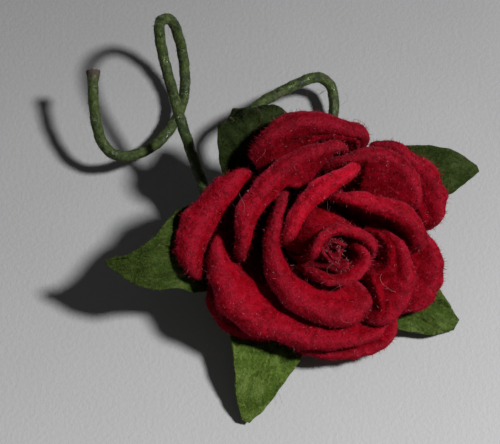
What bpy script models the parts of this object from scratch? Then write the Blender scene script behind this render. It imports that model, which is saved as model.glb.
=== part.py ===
# Paper rose on a looped, paper-wrapped wire stem.
# Every piece of the head is built in the head's own frame (z along the bud, origin on the calyx hub)
# and hangs on one empty, which leans the head back on its calyx points.

import math

import bpy
from mathutils import Vector

MM = 0.001

# How the head sits: the hub's place above the table, and its lean in degrees.
HUB_PLACE = (1.42, -0.86, 3.76)
HEAD_LEAN_FORWARD = 27.4
HEAD_LEAN_RIGHT = 13.0
MODEL_SHIFT = (0.162, -0.706, 0.010)

# Red paper petals.
PETAL_PAPER = 0.34
FOOT_RADIUS = 1.05
FOOT_SPREAD = 0.30
FOOT_GAP = 0.20
FOOT_ROUNDS = 12
CUP_HEIGHT = 8.5
CUP_FULLNESS = 1.55
BUD_LEAN = 2.2
BUD_LEAN_DIRECTION = 325.0
BUD_HEIGHT = 10.5
BUD_LEAN_LIMIT = 1.1
LIP_ROLL = 140.0
LIP_BEND = 0.27
LIP_TOP = 0.30
FACE_SLOPE = 26.0
FACE_BEND = 0.45
LEAN_GAP = 0.25
LEAN_MOST = 4.0
LEAN_WINDOW = 8
CLOSING_START = 0.42
CORNER_START = 0.60
CORNER_DROP = 0.32
CORNER_ROUNDING = 2.2

# Rolled core of the bud.
CORE_PAPER = 0.36
CORE_TURN_GAP = 0.10
CORE_TURNS = 1.9
CORE_START_RADIUS = 0.34
CORE_FOOT = 0.85
CORE_TOP = 10.3

# Green calyx, one sheet with five points.
CALYX_PAPER = 0.30
CALYX_MARGIN = 1.59
CALYX_BOWL_END = 10.0
SEPAL_HALF_WIDTH = 4.3
SEPAL_WIDEST = 9.5
SEPAL_TAPER = 1.8
SEPAL_FULLNESS = 0.85
SEPAL_CUPPING = 0.03
VALLEY_LEAST = 7.3
HUB_FLAT_SHARE = 0.8

# Stem: a steel wire in a paper wrap.
WRAP_DIAMETER = 1.0
WIRE_DIAMETER = 0.5
WIRE_CLEARANCE = 0.05
STEM_CLEARANCE = 0.06
WIRE_SHOWING = 0.25
STEM_REACH = 0.45
STEM_BELOW_HUB = 0.6

# name, inner end, outer end (degrees), crest height, lip droop,
# ridge radii and lip widths at five even places from the inner end to the outer end.
PETALS = (
    ("petal_01", 25, -128, 10.2, 0.45, (1.80, 2.55, 2.35, 2.35, 2.60), (0.5, 0.8, 0.9, 0.9, 0.6)),
    ("petal_02", 220, -12, 10.3, 0.35, (2.20, 1.85, 1.75, 2.30, 4.30), (0.3, 0.5, 0.7, 0.8, 0.8)),
    ("petal_03", 95, 1, 9.6, 0.55, (4.50, 4.75, 5.30, 7.30, 8.85), (0.6, 1.2, 1.9, 1.9, 1.1)),
    ("petal_04", 182, 72, 10.0, 0.35, (4.40, 4.25, 4.60, 5.70, 8.00), (0.5, 1.1, 1.4, 1.5, 0.8)),
    ("petal_05", 308, 131, 9.3, 0.70, (5.60, 4.35, 4.60, 5.80, 6.50), (2.2, 2.5, 2.5, 1.2, 0.55)),
    ("petal_06", 18, -55, 8.8, 0.65, (6.00, 7.00, 7.60, 8.10, 8.70), (0.3, 1.1, 2.0, 1.8, 0.5)),
    ("petal_07", 197, 86, 9.0, 0.45, (7.90, 8.00, 7.85, 8.75, 9.70), (0.6, 1.5, 1.6, 1.2, 0.55)),
    ("petal_08", 102, 25, 8.6, 0.45, (7.50, 8.60, 9.80, 9.70, 9.40), (0.5, 0.9, 1.6, 1.5, 0.8)),
    ("petal_09", 322, 182, 7.9, 0.85, (11.2, 8.70, 8.00, 8.80, 10.2), (0.3, 1.5, 2.4, 3.0, 0.5)),
    ("petal_10", 203, 142, 7.2, 0.80, (12.8, 11.7, 10.35, 9.80, 9.90), (0.4, 2.3, 2.8, 2.0, 0.7)),
    ("petal_11", 132, 69, 7.6, 0.50, (10.9, 11.2, 11.0, 10.6, 11.2), (0.8, 1.6, 1.7, 1.5, 0.9)),
    ("petal_12", 62, 11, 7.2, 0.40, (11.5, 11.4, 11.8, 11.7, 11.4), (0.7, 1.3, 1.6, 1.5, 0.9)),
    ("petal_13", 13, -33, 6.9, 0.45, (9.50, 10.6, 11.0, 11.1, 10.6), (0.6, 1.5, 1.9, 1.8, 0.9)),
    ("petal_14", 324, 263, 6.0, 0.40, (11.7, 11.8, 11.1, 10.6, 10.5), (0.5, 0.8, 1.1, 0.8, 0.5)),
    ("petal_15", 257, 209, 4.9, 0.35, (9.80, 10.4, 11.0, 11.1, 10.7), (0.5, 0.7, 0.9, 0.8, 0.5)),
)

# How closely a petal's wall leans on the petal inside it, at the same five places.
WALL_LEANING = {
    "petal_03": (0.0, 0.0, 0.0, 0.0, 0.3),
    "petal_04": (0.0, 0.0, 0.0, 0.3, 0.5),
    "petal_05": (0.9, 0.7, 0.0, 0.0, 0.0),
    "petal_06": (0.5, 0.5, 0.5, 0.6, 0.6),
    "petal_07": (0.0, 0.0, 0.5, 1.0, 1.0),
    "petal_08": (1.0, 1.0, 1.0, 0.9, 0.8),
    "petal_09": (1.0, 1.0, 0.9, 0.3, 0.0),
    "petal_10": (0.0, 0.0, 0.0, 0.0, 0.3),
    "petal_11": (1.0, 1.0, 1.0, 1.0, 1.0),
    "petal_12": (1.0, 1.0, 1.0, 1.0, 1.0),
    "petal_13": (0.9, 0.9, 0.9, 0.9, 0.9),
    "petal_14": (0.2, 0.2, 0.2, 0.2, 0.2),
}
NOT_AT_ALL = (0.0, 0.0)

# How far the two petals of the closed bud lean in towards their tops, at the same five places.
BUD_CLOSING = {
    "petal_01": (0.3, 0.6, 0.8, 0.8, 0.3),
    "petal_02": (0.5, 1.1, 2.0, 1.6, 0.4),
}

# How finely each sheet and the stem are divided.
PETAL_COLUMNS = 14
COLUMN_CROWDING = 0.4
EDGE_PROBE = 0.03
WALL_STEPS = (0.0, 0.35, 0.64, 0.86, 1.0)
FACE_STEPS = (0.4, 1.0)
FACE_BEND_SHARE = 0.4
LIP_STEPS = (0.24, 0.50, 0.75, 1.0)
WALL_ROUNDS = 6
CORE_COLUMNS = 30
CORE_ROWS = 5
SEPAL_STATIONS = (0.0, 0.30, 0.55, 0.76, 0.91)
CALYX_ROWS = (0.18, 0.36, 0.53, 0.70, 0.86, 1.0)
BEND_PARTS = 24
BEND_PROBE = 0.1
CURVE_PARTS = 20
STEM_STEP = 1.27
STEM_SIDES = 7

# Points of the calyx: direction, length, where the bend starts, how far it turns, over what length.
SEPALS = (
    ("left", 193.0, 20.6, 12.0, -60.0, 6.5),
    ("bottom", 257.0, 19.8, 11.0, -44.2, 7.0),
    ("lower_right", 336.0, 18.3, 10.5, -43.0, 6.0),
    ("upper_right", 26.0, 18.9, 11.0, -45.0, 7.0),
    ("upper_left", 124.0, 16.4, 10.6, -115.0, 3.5),
)

# Middle line of the stem from the hub to its cut end, as it was bent by hand.
STEM_POINTS = (
    (1.20, 0.30, 1.55), (1.25, 1.30, 0.85), (1.60, 3.00, 0.52), (2.40, 5.20, 0.50),
    (3.60, 8.20, 0.70), (4.80, 11.0, 1.25), (5.40, 13.5, 2.00), (5.40, 15.4, 2.50),
    (4.90, 16.6, 3.00), (3.80, 16.7, 4.00), (2.50, 16.0, 4.70), (0.10, 14.2, 5.70),
    (-2.30, 12.0, 6.90), (-3.40, 10.2, 7.40), (-3.50, 8.00, 6.90), (-3.90, 5.90, 4.60),
    (-4.50, 4.20, 1.80), (-5.30, 2.60, 0.55), (-6.40, 1.40, 1.70), (-7.30, 1.30, 4.00),
    (-7.90, 2.70, 6.40), (-9.30, 6.50, 7.70), (-10.3, 9.30, 8.90), (-11.3, 12.6, 10.2),
    (-12.1, 15.6, 11.0), (-12.5, 18.4, 10.9), (-12.3, 20.3, 9.60), (-11.3, 20.9, 8.20),
    (-10.5, 19.6, 5.80), (-10.1, 17.3, 3.90), (-10.2, 15.2, 2.80), (-11.0, 12.8, 2.10),
    (-12.6, 10.2, 2.30), (-14.6, 8.30, 3.20), (-16.6, 7.50, 4.10), (-18.0, 8.00, 5.00),
    (-18.8, 9.60, 6.00), (-19.2, 12.2, 7.20), (-19.3, 15.2, 8.00),
)


def clear_scene():
    for thing in list(bpy.data.objects):
        bpy.data.objects.remove(thing, do_unlink=True)


def make_material(name, colour, roughness, metallic=0.0):
    material = bpy.data.materials.new(name)
    material.use_nodes = True
    shader = material.node_tree.nodes["Principled BSDF"]
    shader.inputs["Base Color"].default_value = (*colour, 1.0)
    shader.inputs["Roughness"].default_value = roughness
    shader.inputs["Metallic"].default_value = metallic
    return material


def link_mesh(name, points, faces, material, parent=None):
    """Points in millimetres and faces as index lists become one object."""
    mesh = bpy.data.meshes.new(name)
    mesh.from_pydata([tuple(float(c) * MM for c in point) for point in points], [], faces)
    mesh.validate()
    mesh.shade_smooth()
    mesh.materials.append(material)
    thing = bpy.data.objects.new(name, mesh)
    bpy.context.scene.collection.objects.link(thing)
    thing.parent = parent
    return thing


def make_head_frame():
    """The empty that carries the head: its z axis runs up the bud."""
    frame = bpy.data.objects.new("head_frame", None)
    bpy.context.scene.collection.objects.link(frame)
    frame.rotation_mode = "XYZ"
    frame.rotation_euler = (math.radians(HEAD_LEAN_FORWARD), math.radians(HEAD_LEAN_RIGHT), 0.0)
    frame.location = [(p + s) * MM for p, s in zip(HUB_PLACE, MODEL_SHIFT)]
    return frame


def cup_share(height):
    """How far out a wall has spread at this height: 0 at the foot, 1 at the cup's full height."""
    level = height / CUP_HEIGHT
    if level >= 1.0:
        return 1.0
    return 1.0 - (1.0 - level) ** CUP_FULLNESS


def calyx_layer():
    """The calyx follows the cup of a layer a little beyond the outermost petal."""
    return max(layer_of(max(petal[5]), petal[3]) for petal in PETALS) + CALYX_MARGIN


def bowl_height(reach):
    """Middle of the calyx paper above its flat hub; past the bowl it runs on at the same slope."""
    layer = calyx_layer()
    hub = foot_radius(layer)
    inside = min(reach, CALYX_BOWL_END)
    if inside <= hub:
        return 0.0
    left = 1.0 - (inside - hub) / (layer - hub)
    height = CUP_HEIGHT * (1.0 - left ** (1.0 / CUP_FULLNESS))
    slope = CUP_HEIGHT / CUP_FULLNESS * left ** (1.0 / CUP_FULLNESS - 1.0) / (layer - hub)
    return height + slope * (reach - inside)


def foot_radius(layer):
    return FOOT_RADIUS + FOOT_SPREAD * layer


def foot_height(layer):
    """A petal's foot stands just clear of the calyx, wherever its wall meets the bowl."""
    clear = 0.5 * (CALYX_PAPER + PETAL_PAPER) + FOOT_GAP
    height = clear
    for _ in range(FOOT_ROUNDS):
        height = clear + bowl_height(wall_radius(layer, height) + 0.5 * PETAL_PAPER)
    return height


def wall_radius(layer, height):
    foot = foot_radius(layer)
    return foot + (layer - foot) * cup_share(height)


def layer_of(ridge, crest):
    """The layer whose wall has this radius at this crest height."""
    share = cup_share(crest)
    return (ridge - FOOT_RADIUS * (1.0 - share)) / (FOOT_SPREAD * (1.0 - share) + share)


def bud_offset(height):
    """The bud leans to one side, more and more with height."""
    reach = BUD_LEAN * min(max(height / BUD_HEIGHT, 0.0), BUD_LEAN_LIMIT) ** 2
    angle = math.radians(BUD_LEAN_DIRECTION)
    return reach * math.cos(angle), reach * math.sin(angle)


def smooth_values(values, place):
    """A smooth curve through evenly spaced values; place runs from 0 to 1."""
    last = len(values) - 1
    spot = min(max(place, 0.0), 1.0) * last
    index = min(int(spot), last - 1)
    t = spot - index
    before = values[index - 1] if index > 0 else 2 * values[0] - values[1]
    after = values[index + 2] if index + 2 <= last else 2 * values[last] - values[last - 1]
    a, b = values[index], values[index + 1]
    slope_a, slope_b = 0.5 * (b - before), 0.5 * (after - a)
    ease = t * t * (3 - 2 * t)
    return a + (b - a) * ease + slope_a * t * (1 - t) ** 2 - slope_b * t * t * (1 - t)


def corner_height(place):
    """A petal's top edge is level in the middle and rounds off to its two corners."""
    side = abs(2.0 * place - 1.0)
    if side <= CORNER_START:
        return 1.0
    out = (side - CORNER_START) / (1.0 - CORNER_START)
    return 1.0 - CORNER_DROP * out ** CORNER_ROUNDING


def corner_turn(place, tall, wide):
    """How far the top edge has turned down towards the outer end, in radians."""
    before = max(place - EDGE_PROBE, 0.0)
    after = min(place + EDGE_PROBE, 1.0)
    fall = (corner_height(before) - corner_height(after)) * tall
    return math.atan2(fall, wide * (after - before))


def core_radius():
    return CORE_START_RADIUS + (CORE_PAPER + CORE_TURN_GAP) * CORE_TURNS + 0.5 * CORE_PAPER


def petal_round(petal):
    """At each whole degree round the head: layer of the wall, layer of the lip's edge and height under it.

    Where the petal isn't, there is None.
    """
    name, inner_end, outer_end, crest, droop, ridges, lips = petal
    levels = []
    for degree in range(360):
        place = ((inner_end - degree) % 360.0) / (inner_end - outer_end)
        if place > 1.0:
            levels.append(None)
            continue
        closing = bud_closing(name, place)
        wall = layer_of(smooth_values(ridges, place) + closing, crest)
        top = crest * corner_height(place)
        lip_edge = wall_radius(wall, top) - closing + max(smooth_values(lips, place), closing)
        levels.append((wall, layer_of(lip_edge, top), top - droop - LEAN_GAP))
    return levels


def bud_closing(name, place):
    return smooth_values(BUD_CLOSING.get(name, NOT_AT_ALL), place)


def calm_round(values):
    """The least value near each degree, and then the mean of those over the same stretch."""
    near = range(-LEAN_WINDOW, LEAN_WINDOW + 1)
    least = [min(values[(degree + step) % 360] for step in near) for degree in range(360)]
    return [sum(least[(degree + step) % 360] for step in near) / len(near) for degree in range(360)]


def leaning_room():
    """How far each petal's wall can lean on the next petal inside it, at each degree.

    A lip that hangs lower than a petal's own crest is in its way, so the wall stays outside it.
    """
    rounds = [petal_round(petal) for petal in PETALS]
    rooms = {}
    for petal, levels in zip(PETALS, rounds):
        room = [LEAN_MOST] * 360
        for degree, own in enumerate(levels):
            if own is None:
                continue
            inside = core_radius() + LEAN_GAP
            for other in (others[degree] for others in rounds):
                if other is not None and other[0] < own[0]:
                    in_the_way = other[2] < petal[3] + LIP_TOP
                    inside = max(inside, other[1] if in_the_way else other[0])
            room[degree] = min(max(own[0] - inside - PETAL_PAPER - LEAN_GAP, 0.0), LEAN_MOST)
        rooms[petal[0]] = calm_round(room)
    return rooms


def wall_lean(petal, place, rooms):
    """How far inside its ridge's layer a petal's wall stands at this place."""
    degree = (petal[1] + (petal[2] - petal[1]) * place) % 360.0
    here = int(degree) % 360
    part = degree - int(degree)
    room = rooms[petal[0]][here] * (1.0 - part) + rooms[petal[0]][(here + 1) % 360] * part
    closeness = smooth_values(WALL_LEANING.get(petal[0], NOT_AT_ALL), place)
    return room * min(max(closeness, 0.0), 1.0)


def lip_shape(petal, place):
    """Radius of a lip's roll, and how far past level it turns."""
    bend = max(0.5 * smooth_values(petal[6], place), LIP_BEND)
    drop = 1.0 - (petal[4] + LIP_TOP) / bend
    return bend, math.acos(max(drop, math.cos(math.radians(LIP_ROLL))))


def wall_top(petal, place, rooms):
    """Layer and height at which the wall ends, the inner face's length from there, and the closing."""
    name, _, _, crest, _, ridges, _ = petal
    bend, end = lip_shape(petal, place)
    rise = math.sin(math.radians(FACE_SLOPE))
    ridge = smooth_values(ridges, place)
    top = ridge + bend * (2.0 - math.sin(min(end, 0.5 * math.pi)))
    inner = top - bend * rise - min(FACE_BEND, bend) * (1.0 - rise)
    layer = layer_of(ridge, crest) - wall_lean(petal, place, rooms)
    height = crest + LIP_TOP - bend
    face = 0.0
    for _ in range(WALL_ROUNDS):
        face = max(inner - wall_radius(layer, height), 0.0)
        height = crest + LIP_TOP - height_past_wall(bend, face)
    closing = bud_closing(name, place)
    return layer_of(inner - face + closing, height), height, face, closing


def height_past_wall(bend, face):
    """How far the inner face and the lip's roll rise above the wall's end."""
    slope = math.radians(FACE_SLOPE)
    return bend * (1.0 - math.cos(slope)) + face * math.tan(slope) + min(FACE_BEND, bend) * math.cos(slope)


def past_wall(bend, end, face, step):
    """Distance out and up from the wall's end, and the share of up that the inner face makes.

    Step runs from 1 to 2 over the inner face, and from 2 to 3 round the lip.
    """
    slope = math.radians(FACE_SLOPE)
    near = min(FACE_BEND, bend)
    opening = min(max((step - 1.0) / FACE_BEND_SHARE, 0.0), 1.0)
    heading = 0.5 * math.pi - opening * (0.5 * math.pi - slope)
    ahead = face * min(max((step - 1.0 - FACE_BEND_SHARE) / (1.0 - FACE_BEND_SHARE), 0.0), 1.0)
    over = slope - min(max(step - 2.0, 0.0), 1.0) * (slope + end)
    out = near * (1.0 - math.sin(heading)) + ahead + bend * (math.sin(slope) - math.sin(over))
    up = near * math.cos(heading) + bend * (math.cos(over) - math.cos(slope))
    return out, up, ahead * math.tan(slope)


def petal_column(petal, place, steps, rooms):
    """Middle of the paper along one line from foot to lip; step runs 0 to 1 up the wall."""
    span = math.radians(petal[2] - petal[1])
    bend, end = lip_shape(petal, place)
    layer, top, face, closing = wall_top(petal, place, rooms)
    foot = foot_height(layer)
    points = []
    for step in steps:
        height = foot + (top - foot) * corner_height(place) * min(step, 1.0)
        lean = min(max((step - CLOSING_START) / (1.0 - CLOSING_START), 0.0), 1.0)
        radius = wall_radius(layer, height) - closing * lean * lean * (3.0 - 2.0 * lean)
        out, up, face_up = past_wall(bend, end, face, step)
        aside = corner_turn(place, top - foot, radius * abs(span))
        turned = math.copysign(up * math.sin(aside) / radius, span * up * aside)
        angle = math.radians(petal[1]) + span * place + turned
        height += face_up + up * math.cos(aside)
        shift_x, shift_y = bud_offset(height)
        points.append(((radius + out) * math.cos(angle) + shift_x,
                       (radius + out) * math.sin(angle) + shift_y, height))
    return points


def grid_faces(columns, rows, closed=False):
    faces = []
    for column in range(columns if closed else columns - 1):
        following = (column + 1) % columns
        for row in range(rows - 1):
            faces.append((column * rows + row, following * rows + row,
                          following * rows + row + 1, column * rows + row + 1))
    return faces


def crowd_ends(place):
    """Even places moved nearer to the two ends, where the outline turns fastest."""
    return place - COLUMN_CROWDING * math.sin(math.tau * place) / math.tau


def thicken(thing, thickness):
    solid = thing.modifiers.new("paper", "SOLIDIFY")
    solid.thickness = thickness * MM
    solid.offset = 0.0
    solid.use_even_offset = False
    solid.use_rim = True


def make_petal(petal, rooms, material, parent):
    steps = list(WALL_STEPS) + [1.0 + s for s in FACE_STEPS] + [2.0 + s for s in LIP_STEPS]
    points = []
    for column in range(PETAL_COLUMNS):
        place = crowd_ends(column / (PETAL_COLUMNS - 1))
        points += petal_column(petal, place, steps, rooms)
    thing = link_mesh(petal[0], points, grid_faces(PETAL_COLUMNS, len(steps)), material, parent)
    thicken(thing, PETAL_PAPER)
    return thing


def make_core(material, parent):
    """A strip rolled up round the end of the stem."""
    points = []
    for column in range(CORE_COLUMNS):
        turn = CORE_TURNS * column / (CORE_COLUMNS - 1)
        radius = CORE_START_RADIUS + (CORE_PAPER + CORE_TURN_GAP) * turn
        angle = math.tau * turn
        for row in range(CORE_ROWS):
            height = CORE_FOOT + (CORE_TOP - CORE_FOOT) * row / (CORE_ROWS - 1)
            shift_x, shift_y = bud_offset(height)
            across = radius * math.cos(angle) + shift_x
            points.append((across, radius * math.sin(angle) + shift_y, height))
    thing = link_mesh("bud_core", points, grid_faces(CORE_COLUMNS, CORE_ROWS), material, parent)
    thicken(thing, CORE_PAPER)
    return thing


def sepal_half_width(reach, length):
    """Half the width of a calyx point at this distance from the hub's middle."""
    out = max(reach - SEPAL_WIDEST, 0.0) / (length - SEPAL_WIDEST)
    return SEPAL_HALF_WIDTH * max(1.0 - out ** SEPAL_TAPER, 0.0) ** SEPAL_FULLNESS


def sepal_line(reach, bend_start, bend_turn, bend_length):
    """Where a calyx point's middle line lies: distance out and height, after its bend."""
    if reach <= bend_start:
        return reach, bowl_height(reach)
    out, height = bend_start, bowl_height(bend_start)
    slope = math.atan2(height - bowl_height(bend_start - BEND_PROBE), BEND_PROBE)
    piece = (reach - bend_start) / BEND_PARTS
    for part in range(BEND_PARTS):
        share = min((part + 0.5) * piece / bend_length, 1.0)
        heading = slope + math.radians(bend_turn) * share * share * (3.0 - 2.0 * share)
        out += piece * math.cos(heading)
        height += piece * math.sin(heading)
    return out, height


def calyx_columns():
    """Outline of the five-pointed sheet: which point, distance along its middle line, distance aside."""
    columns = []
    count = len(SEPALS)
    order = sorted(range(count), key=lambda i: SEPALS[i][1])
    for spot, index in enumerate(order):
        direction, length = SEPALS[index][1], SEPALS[index][2]
        before = (direction - SEPALS[order[spot - 1]][1]) % 360.0
        after = (SEPALS[order[(spot + 1) % count]][1] - direction) % 360.0
        for side, gap in ((-1.0, before), (1.0, after)):
            half = math.radians(0.5 * gap)
            valley = max(SEPAL_HALF_WIDTH / math.sin(half), VALLEY_LEAST)
            start = valley * math.cos(half)
            reaches = [start + (length - start) * station for station in SEPAL_STATIONS]
            edge = [(index, start, side * valley * math.sin(half))]
            edge += [(index, reach, side * sepal_half_width(reach, length)) for reach in reaches[1:]]
            if side < 0.0:
                columns += edge
            else:
                columns += [(index, length, 0.0)] + edge[::-1][:-1]
    return columns


def calyx_point(index, reach, aside):
    _, direction, length, bend_start, bend_turn, bend_length = SEPALS[index]
    out, height = sepal_line(reach, bend_start, bend_turn, bend_length)
    angle = math.radians(direction)
    along = max(reach - CALYX_BOWL_END, 0.0) / (length - CALYX_BOWL_END)
    height += SEPAL_CUPPING * aside * aside * along
    return (out * math.cos(angle) - aside * math.sin(angle),
            out * math.sin(angle) + aside * math.cos(angle), height)


def make_calyx(material, parent):
    hole = 0.5 * WRAP_DIAMETER + STEM_CLEARANCE
    hub = foot_radius(calyx_layer())
    columns = calyx_columns()
    points = []
    inner = [hole, hub * HUB_FLAT_SHARE, hub]
    rows = len(inner) + len(CALYX_ROWS)
    for index, reach, aside in columns:
        far = math.hypot(reach, aside)
        for distance in inner + [hub + (far - hub) * share for share in CALYX_ROWS]:
            share = distance / far
            points.append(calyx_point(index, reach * share, aside * share))
    thing = link_mesh("calyx", points, grid_faces(len(columns), rows, closed=True), material, parent)
    thicken(thing, CALYX_PAPER)
    return thing


def head_point(head, x, y, z):
    """A point of the head's frame, in millimetres of the model's frame."""
    bpy.context.view_layer.update()
    return head.matrix_world @ Vector((x * MM, y * MM, z * MM)) / MM


def smooth_curve(knots):
    """Many points on a smooth curve through the knots."""
    ends = [knots[0] * 2 - knots[1]] + knots + [knots[-1] * 2 - knots[-2]]
    fine = []
    for before, a, b, after in zip(ends, ends[1:], ends[2:], ends[3:]):
        for part in range(CURVE_PARTS):
            t = part / CURVE_PARTS
            bend = 2 * before - 5 * a + 4 * b - after
            twist = 3 * a - before - 3 * b + after
            fine.append(a + 0.5 * t * ((b - before) + t * bend + t * t * twist))
    return fine + [knots[-1]]


def stem_route(head):
    """Evenly spaced points along the stem's middle line."""
    shift = Vector(MODEL_SHIFT)
    knots = [head_point(head, 0.0, 0.0, z) for z in (STEM_REACH, -STEM_BELOW_HUB)]
    fine = smooth_curve(knots + [Vector(point) + shift for point in STEM_POINTS])
    lengths = [0.0]
    for a, b in zip(fine, fine[1:]):
        lengths.append(lengths[-1] + (b - a).length)
    count = int(round(lengths[-1] / STEM_STEP))
    route = []
    spot = 0
    for index in range(count + 1):
        target = lengths[-1] * index / count
        while spot < len(fine) - 2 and lengths[spot + 1] < target:
            spot += 1
        share = (target - lengths[spot]) / (lengths[spot + 1] - lengths[spot])
        route.append(fine[spot].lerp(fine[spot + 1], min(share, 1.0)))
    return route


def cross_axes(route):
    """Two axes across the route at each point, carried along without twist."""
    axes = []
    side = None
    for index, point in enumerate(route):
        ahead = (route[min(index + 1, len(route) - 1)] - route[max(index - 1, 0)]).normalized()
        if side is None:
            side = ahead.orthogonal().normalized()
        side = (side - ahead * side.dot(ahead)).normalized()
        axes.append((side.copy(), ahead.cross(side)))
    return axes


def ring(centre, axes, radius, sides):
    return [centre + axes[0] * (radius * math.cos(math.tau * k / sides))
            + axes[1] * (radius * math.sin(math.tau * k / sides)) for k in range(sides)]


def tube_sides(rings, sides, start, inward):
    """Side faces of a tube whose rings of points follow each other from this start."""
    faces = []
    for index in range(rings - 1):
        for k in range(sides):
            a = start + index * sides + k
            b = start + index * sides + (k + 1) % sides
            face = (a, b, b + sides, a + sides)
            faces.append(face[::-1] if inward else face)
    return faces


def make_wrap(route, axes, material):
    """The wound paper: a tube with the wire's bore, open at both ends."""
    bore = 0.5 * WIRE_DIAMETER + WIRE_CLEARANCE
    points, faces = [], []
    for radius in (0.5 * WRAP_DIAMETER, bore):
        for centre, pair in zip(route, axes):
            points += ring(centre, pair, radius, STEM_SIDES)
    inner = len(route) * STEM_SIDES
    faces += tube_sides(len(route), STEM_SIDES, 0, False)
    faces += tube_sides(len(route), STEM_SIDES, inner, True)
    last = (len(route) - 1) * STEM_SIDES
    for k in range(STEM_SIDES):
        n = (k + 1) % STEM_SIDES
        faces.append((n, k, inner + k, inner + n))
        faces.append((last + k, last + n, inner + last + n, inner + last + k))
    return link_mesh("stem_wrap", points, faces, material)


def make_wire(route, axes, material):
    """The steel wire; its cut end stands out of the wrap a little."""
    end = route[-1] + (route[-1] - route[-2]).normalized() * WIRE_SHOWING
    centres = route[:-1] + [end]
    points = []
    for centre, pair in zip(centres, axes):
        points += ring(centre, pair, 0.5 * WIRE_DIAMETER, STEM_SIDES)
    faces = tube_sides(len(centres), STEM_SIDES, 0, False)
    last = (len(centres) - 1) * STEM_SIDES
    faces.append(tuple(range(STEM_SIDES))[::-1])
    faces.append(tuple(range(last, last + STEM_SIDES)))
    return link_mesh("stem_wire", points, faces, material)


def main():
    clear_scene()
    red = make_material("red_petal_paper", (0.25, 0.008, 0.018), 0.85)
    green = make_material("green_calyx_paper", (0.07, 0.11, 0.03), 0.8)
    wrap = make_material("green_wrap_paper", (0.05, 0.08, 0.03), 0.7)
    steel = make_material("stem_steel", (0.45, 0.43, 0.40), 0.4, 1.0)
    head = make_head_frame()
    make_core(red, head)
    rooms = leaning_room()
    for petal in PETALS:
        make_petal(petal, rooms, red, head)
    make_calyx(green, head)
    route = stem_route(head)
    axes = cross_axes(route)
    make_wrap(route, axes, wrap)
    make_wire(route, axes, steel)


main()
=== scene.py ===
import math

import bpy
import numpy as np
from mathutils import Euler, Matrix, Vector, noise


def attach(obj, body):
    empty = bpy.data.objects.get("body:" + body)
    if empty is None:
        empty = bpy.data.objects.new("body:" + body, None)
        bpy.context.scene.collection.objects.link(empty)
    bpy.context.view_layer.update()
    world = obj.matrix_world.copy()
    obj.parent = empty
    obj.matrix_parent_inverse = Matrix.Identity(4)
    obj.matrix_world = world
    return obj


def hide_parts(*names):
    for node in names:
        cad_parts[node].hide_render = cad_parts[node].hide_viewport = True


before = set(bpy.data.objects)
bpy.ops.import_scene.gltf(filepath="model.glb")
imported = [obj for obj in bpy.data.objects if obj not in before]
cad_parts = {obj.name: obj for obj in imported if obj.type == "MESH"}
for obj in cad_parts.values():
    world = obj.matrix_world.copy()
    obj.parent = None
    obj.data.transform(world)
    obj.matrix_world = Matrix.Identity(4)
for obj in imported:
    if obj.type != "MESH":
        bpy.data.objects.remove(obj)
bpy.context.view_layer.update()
mm = 0.001

# Where the head sits and how its cup is shaped: the same rules as the solids follow, in millimetres.
head = {
    "hub": (1.42, -0.86, 3.76),
    "shift": (0.162, -0.706, 0.010),
    "leanForward": 27.4,
    "leanRight": 13.0,
    "footRadius": 1.05,
    "footSpread": 0.30,
    "footGap": 0.20,
    "cupHeight": 8.5,
    "cupFullness": 1.55,
    "budLean": 2.2,
    "budDirection": 325.0,
    "budHeight": 10.5,
}
headLean = (math.radians(head["leanForward"]), math.radians(head["leanRight"]), 0.0)
headTurn = np.array(Euler(headLean).to_matrix())
headPlace = np.array(head["hub"]) + np.array(head["shift"])

petals = {
    "paper": 0.34,
    "calyxPaper": 0.30,
    "columns": 100,
    "wallRows": 12,
    "faceRows": 18,
    "topRows": 24,
    "lipRoll": 140.0,
    "lipBend": 0.25,
    "lipTop": 0.30,
    "faceBend": 0.45,
    "faceSlope": 26.0,  # how steep the inner face is where it opens
    "faceBendShare": 0.4,
    "leanGap": 0.25,
    "leanMost": 4.0,
    "leanWindow": 8,
    "coreRadius": 1.39,
    "closingStart": 0.42,
    "cornerStart": 0.60,
    "cornerDrop": 0.32,
    "cornerRounding": 2.2,
    "cornerProbe": 0.02,
    "lumps": ((2.6, 0.11), (1.1, 0.09), (0.5, 0.055)),  # size and depth of the paper's unevenness
    "calmBelow": 3.0,  # the lumps fade out over this much of the foot
    "crowding": 0.35,  # how far the mesh's columns are drawn to the petal's ends
    "roughColumns": 33,  # points that the petal's and the lip's lengths are first measured with
    "roughRows": 9,
    "rimMost": 0.45,  # the rounded edge takes up no more of a narrow lip than this
    "edgeWander": 0.20,
    "wanderSize": 1.7,
    "grooveWidth": 0.17,
    "edgeBand": 0.9,  # width of the worn band along the paper's edge
    "wearAndCrestHighlight": 0.46,  # how pale the lip's top is painted, beside the paper's edge: a painted highlight along the lip's crest
    "crestHighlightAt": 2.25,
    "crestHighlightWidth": 0.35,
    "fuzzFrom": 0.35,  # the nap starts here on the wall and is thickest on the lip
    "fuzzOver": 0.5,
    "fuzzLeast": 0.45,
}

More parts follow.
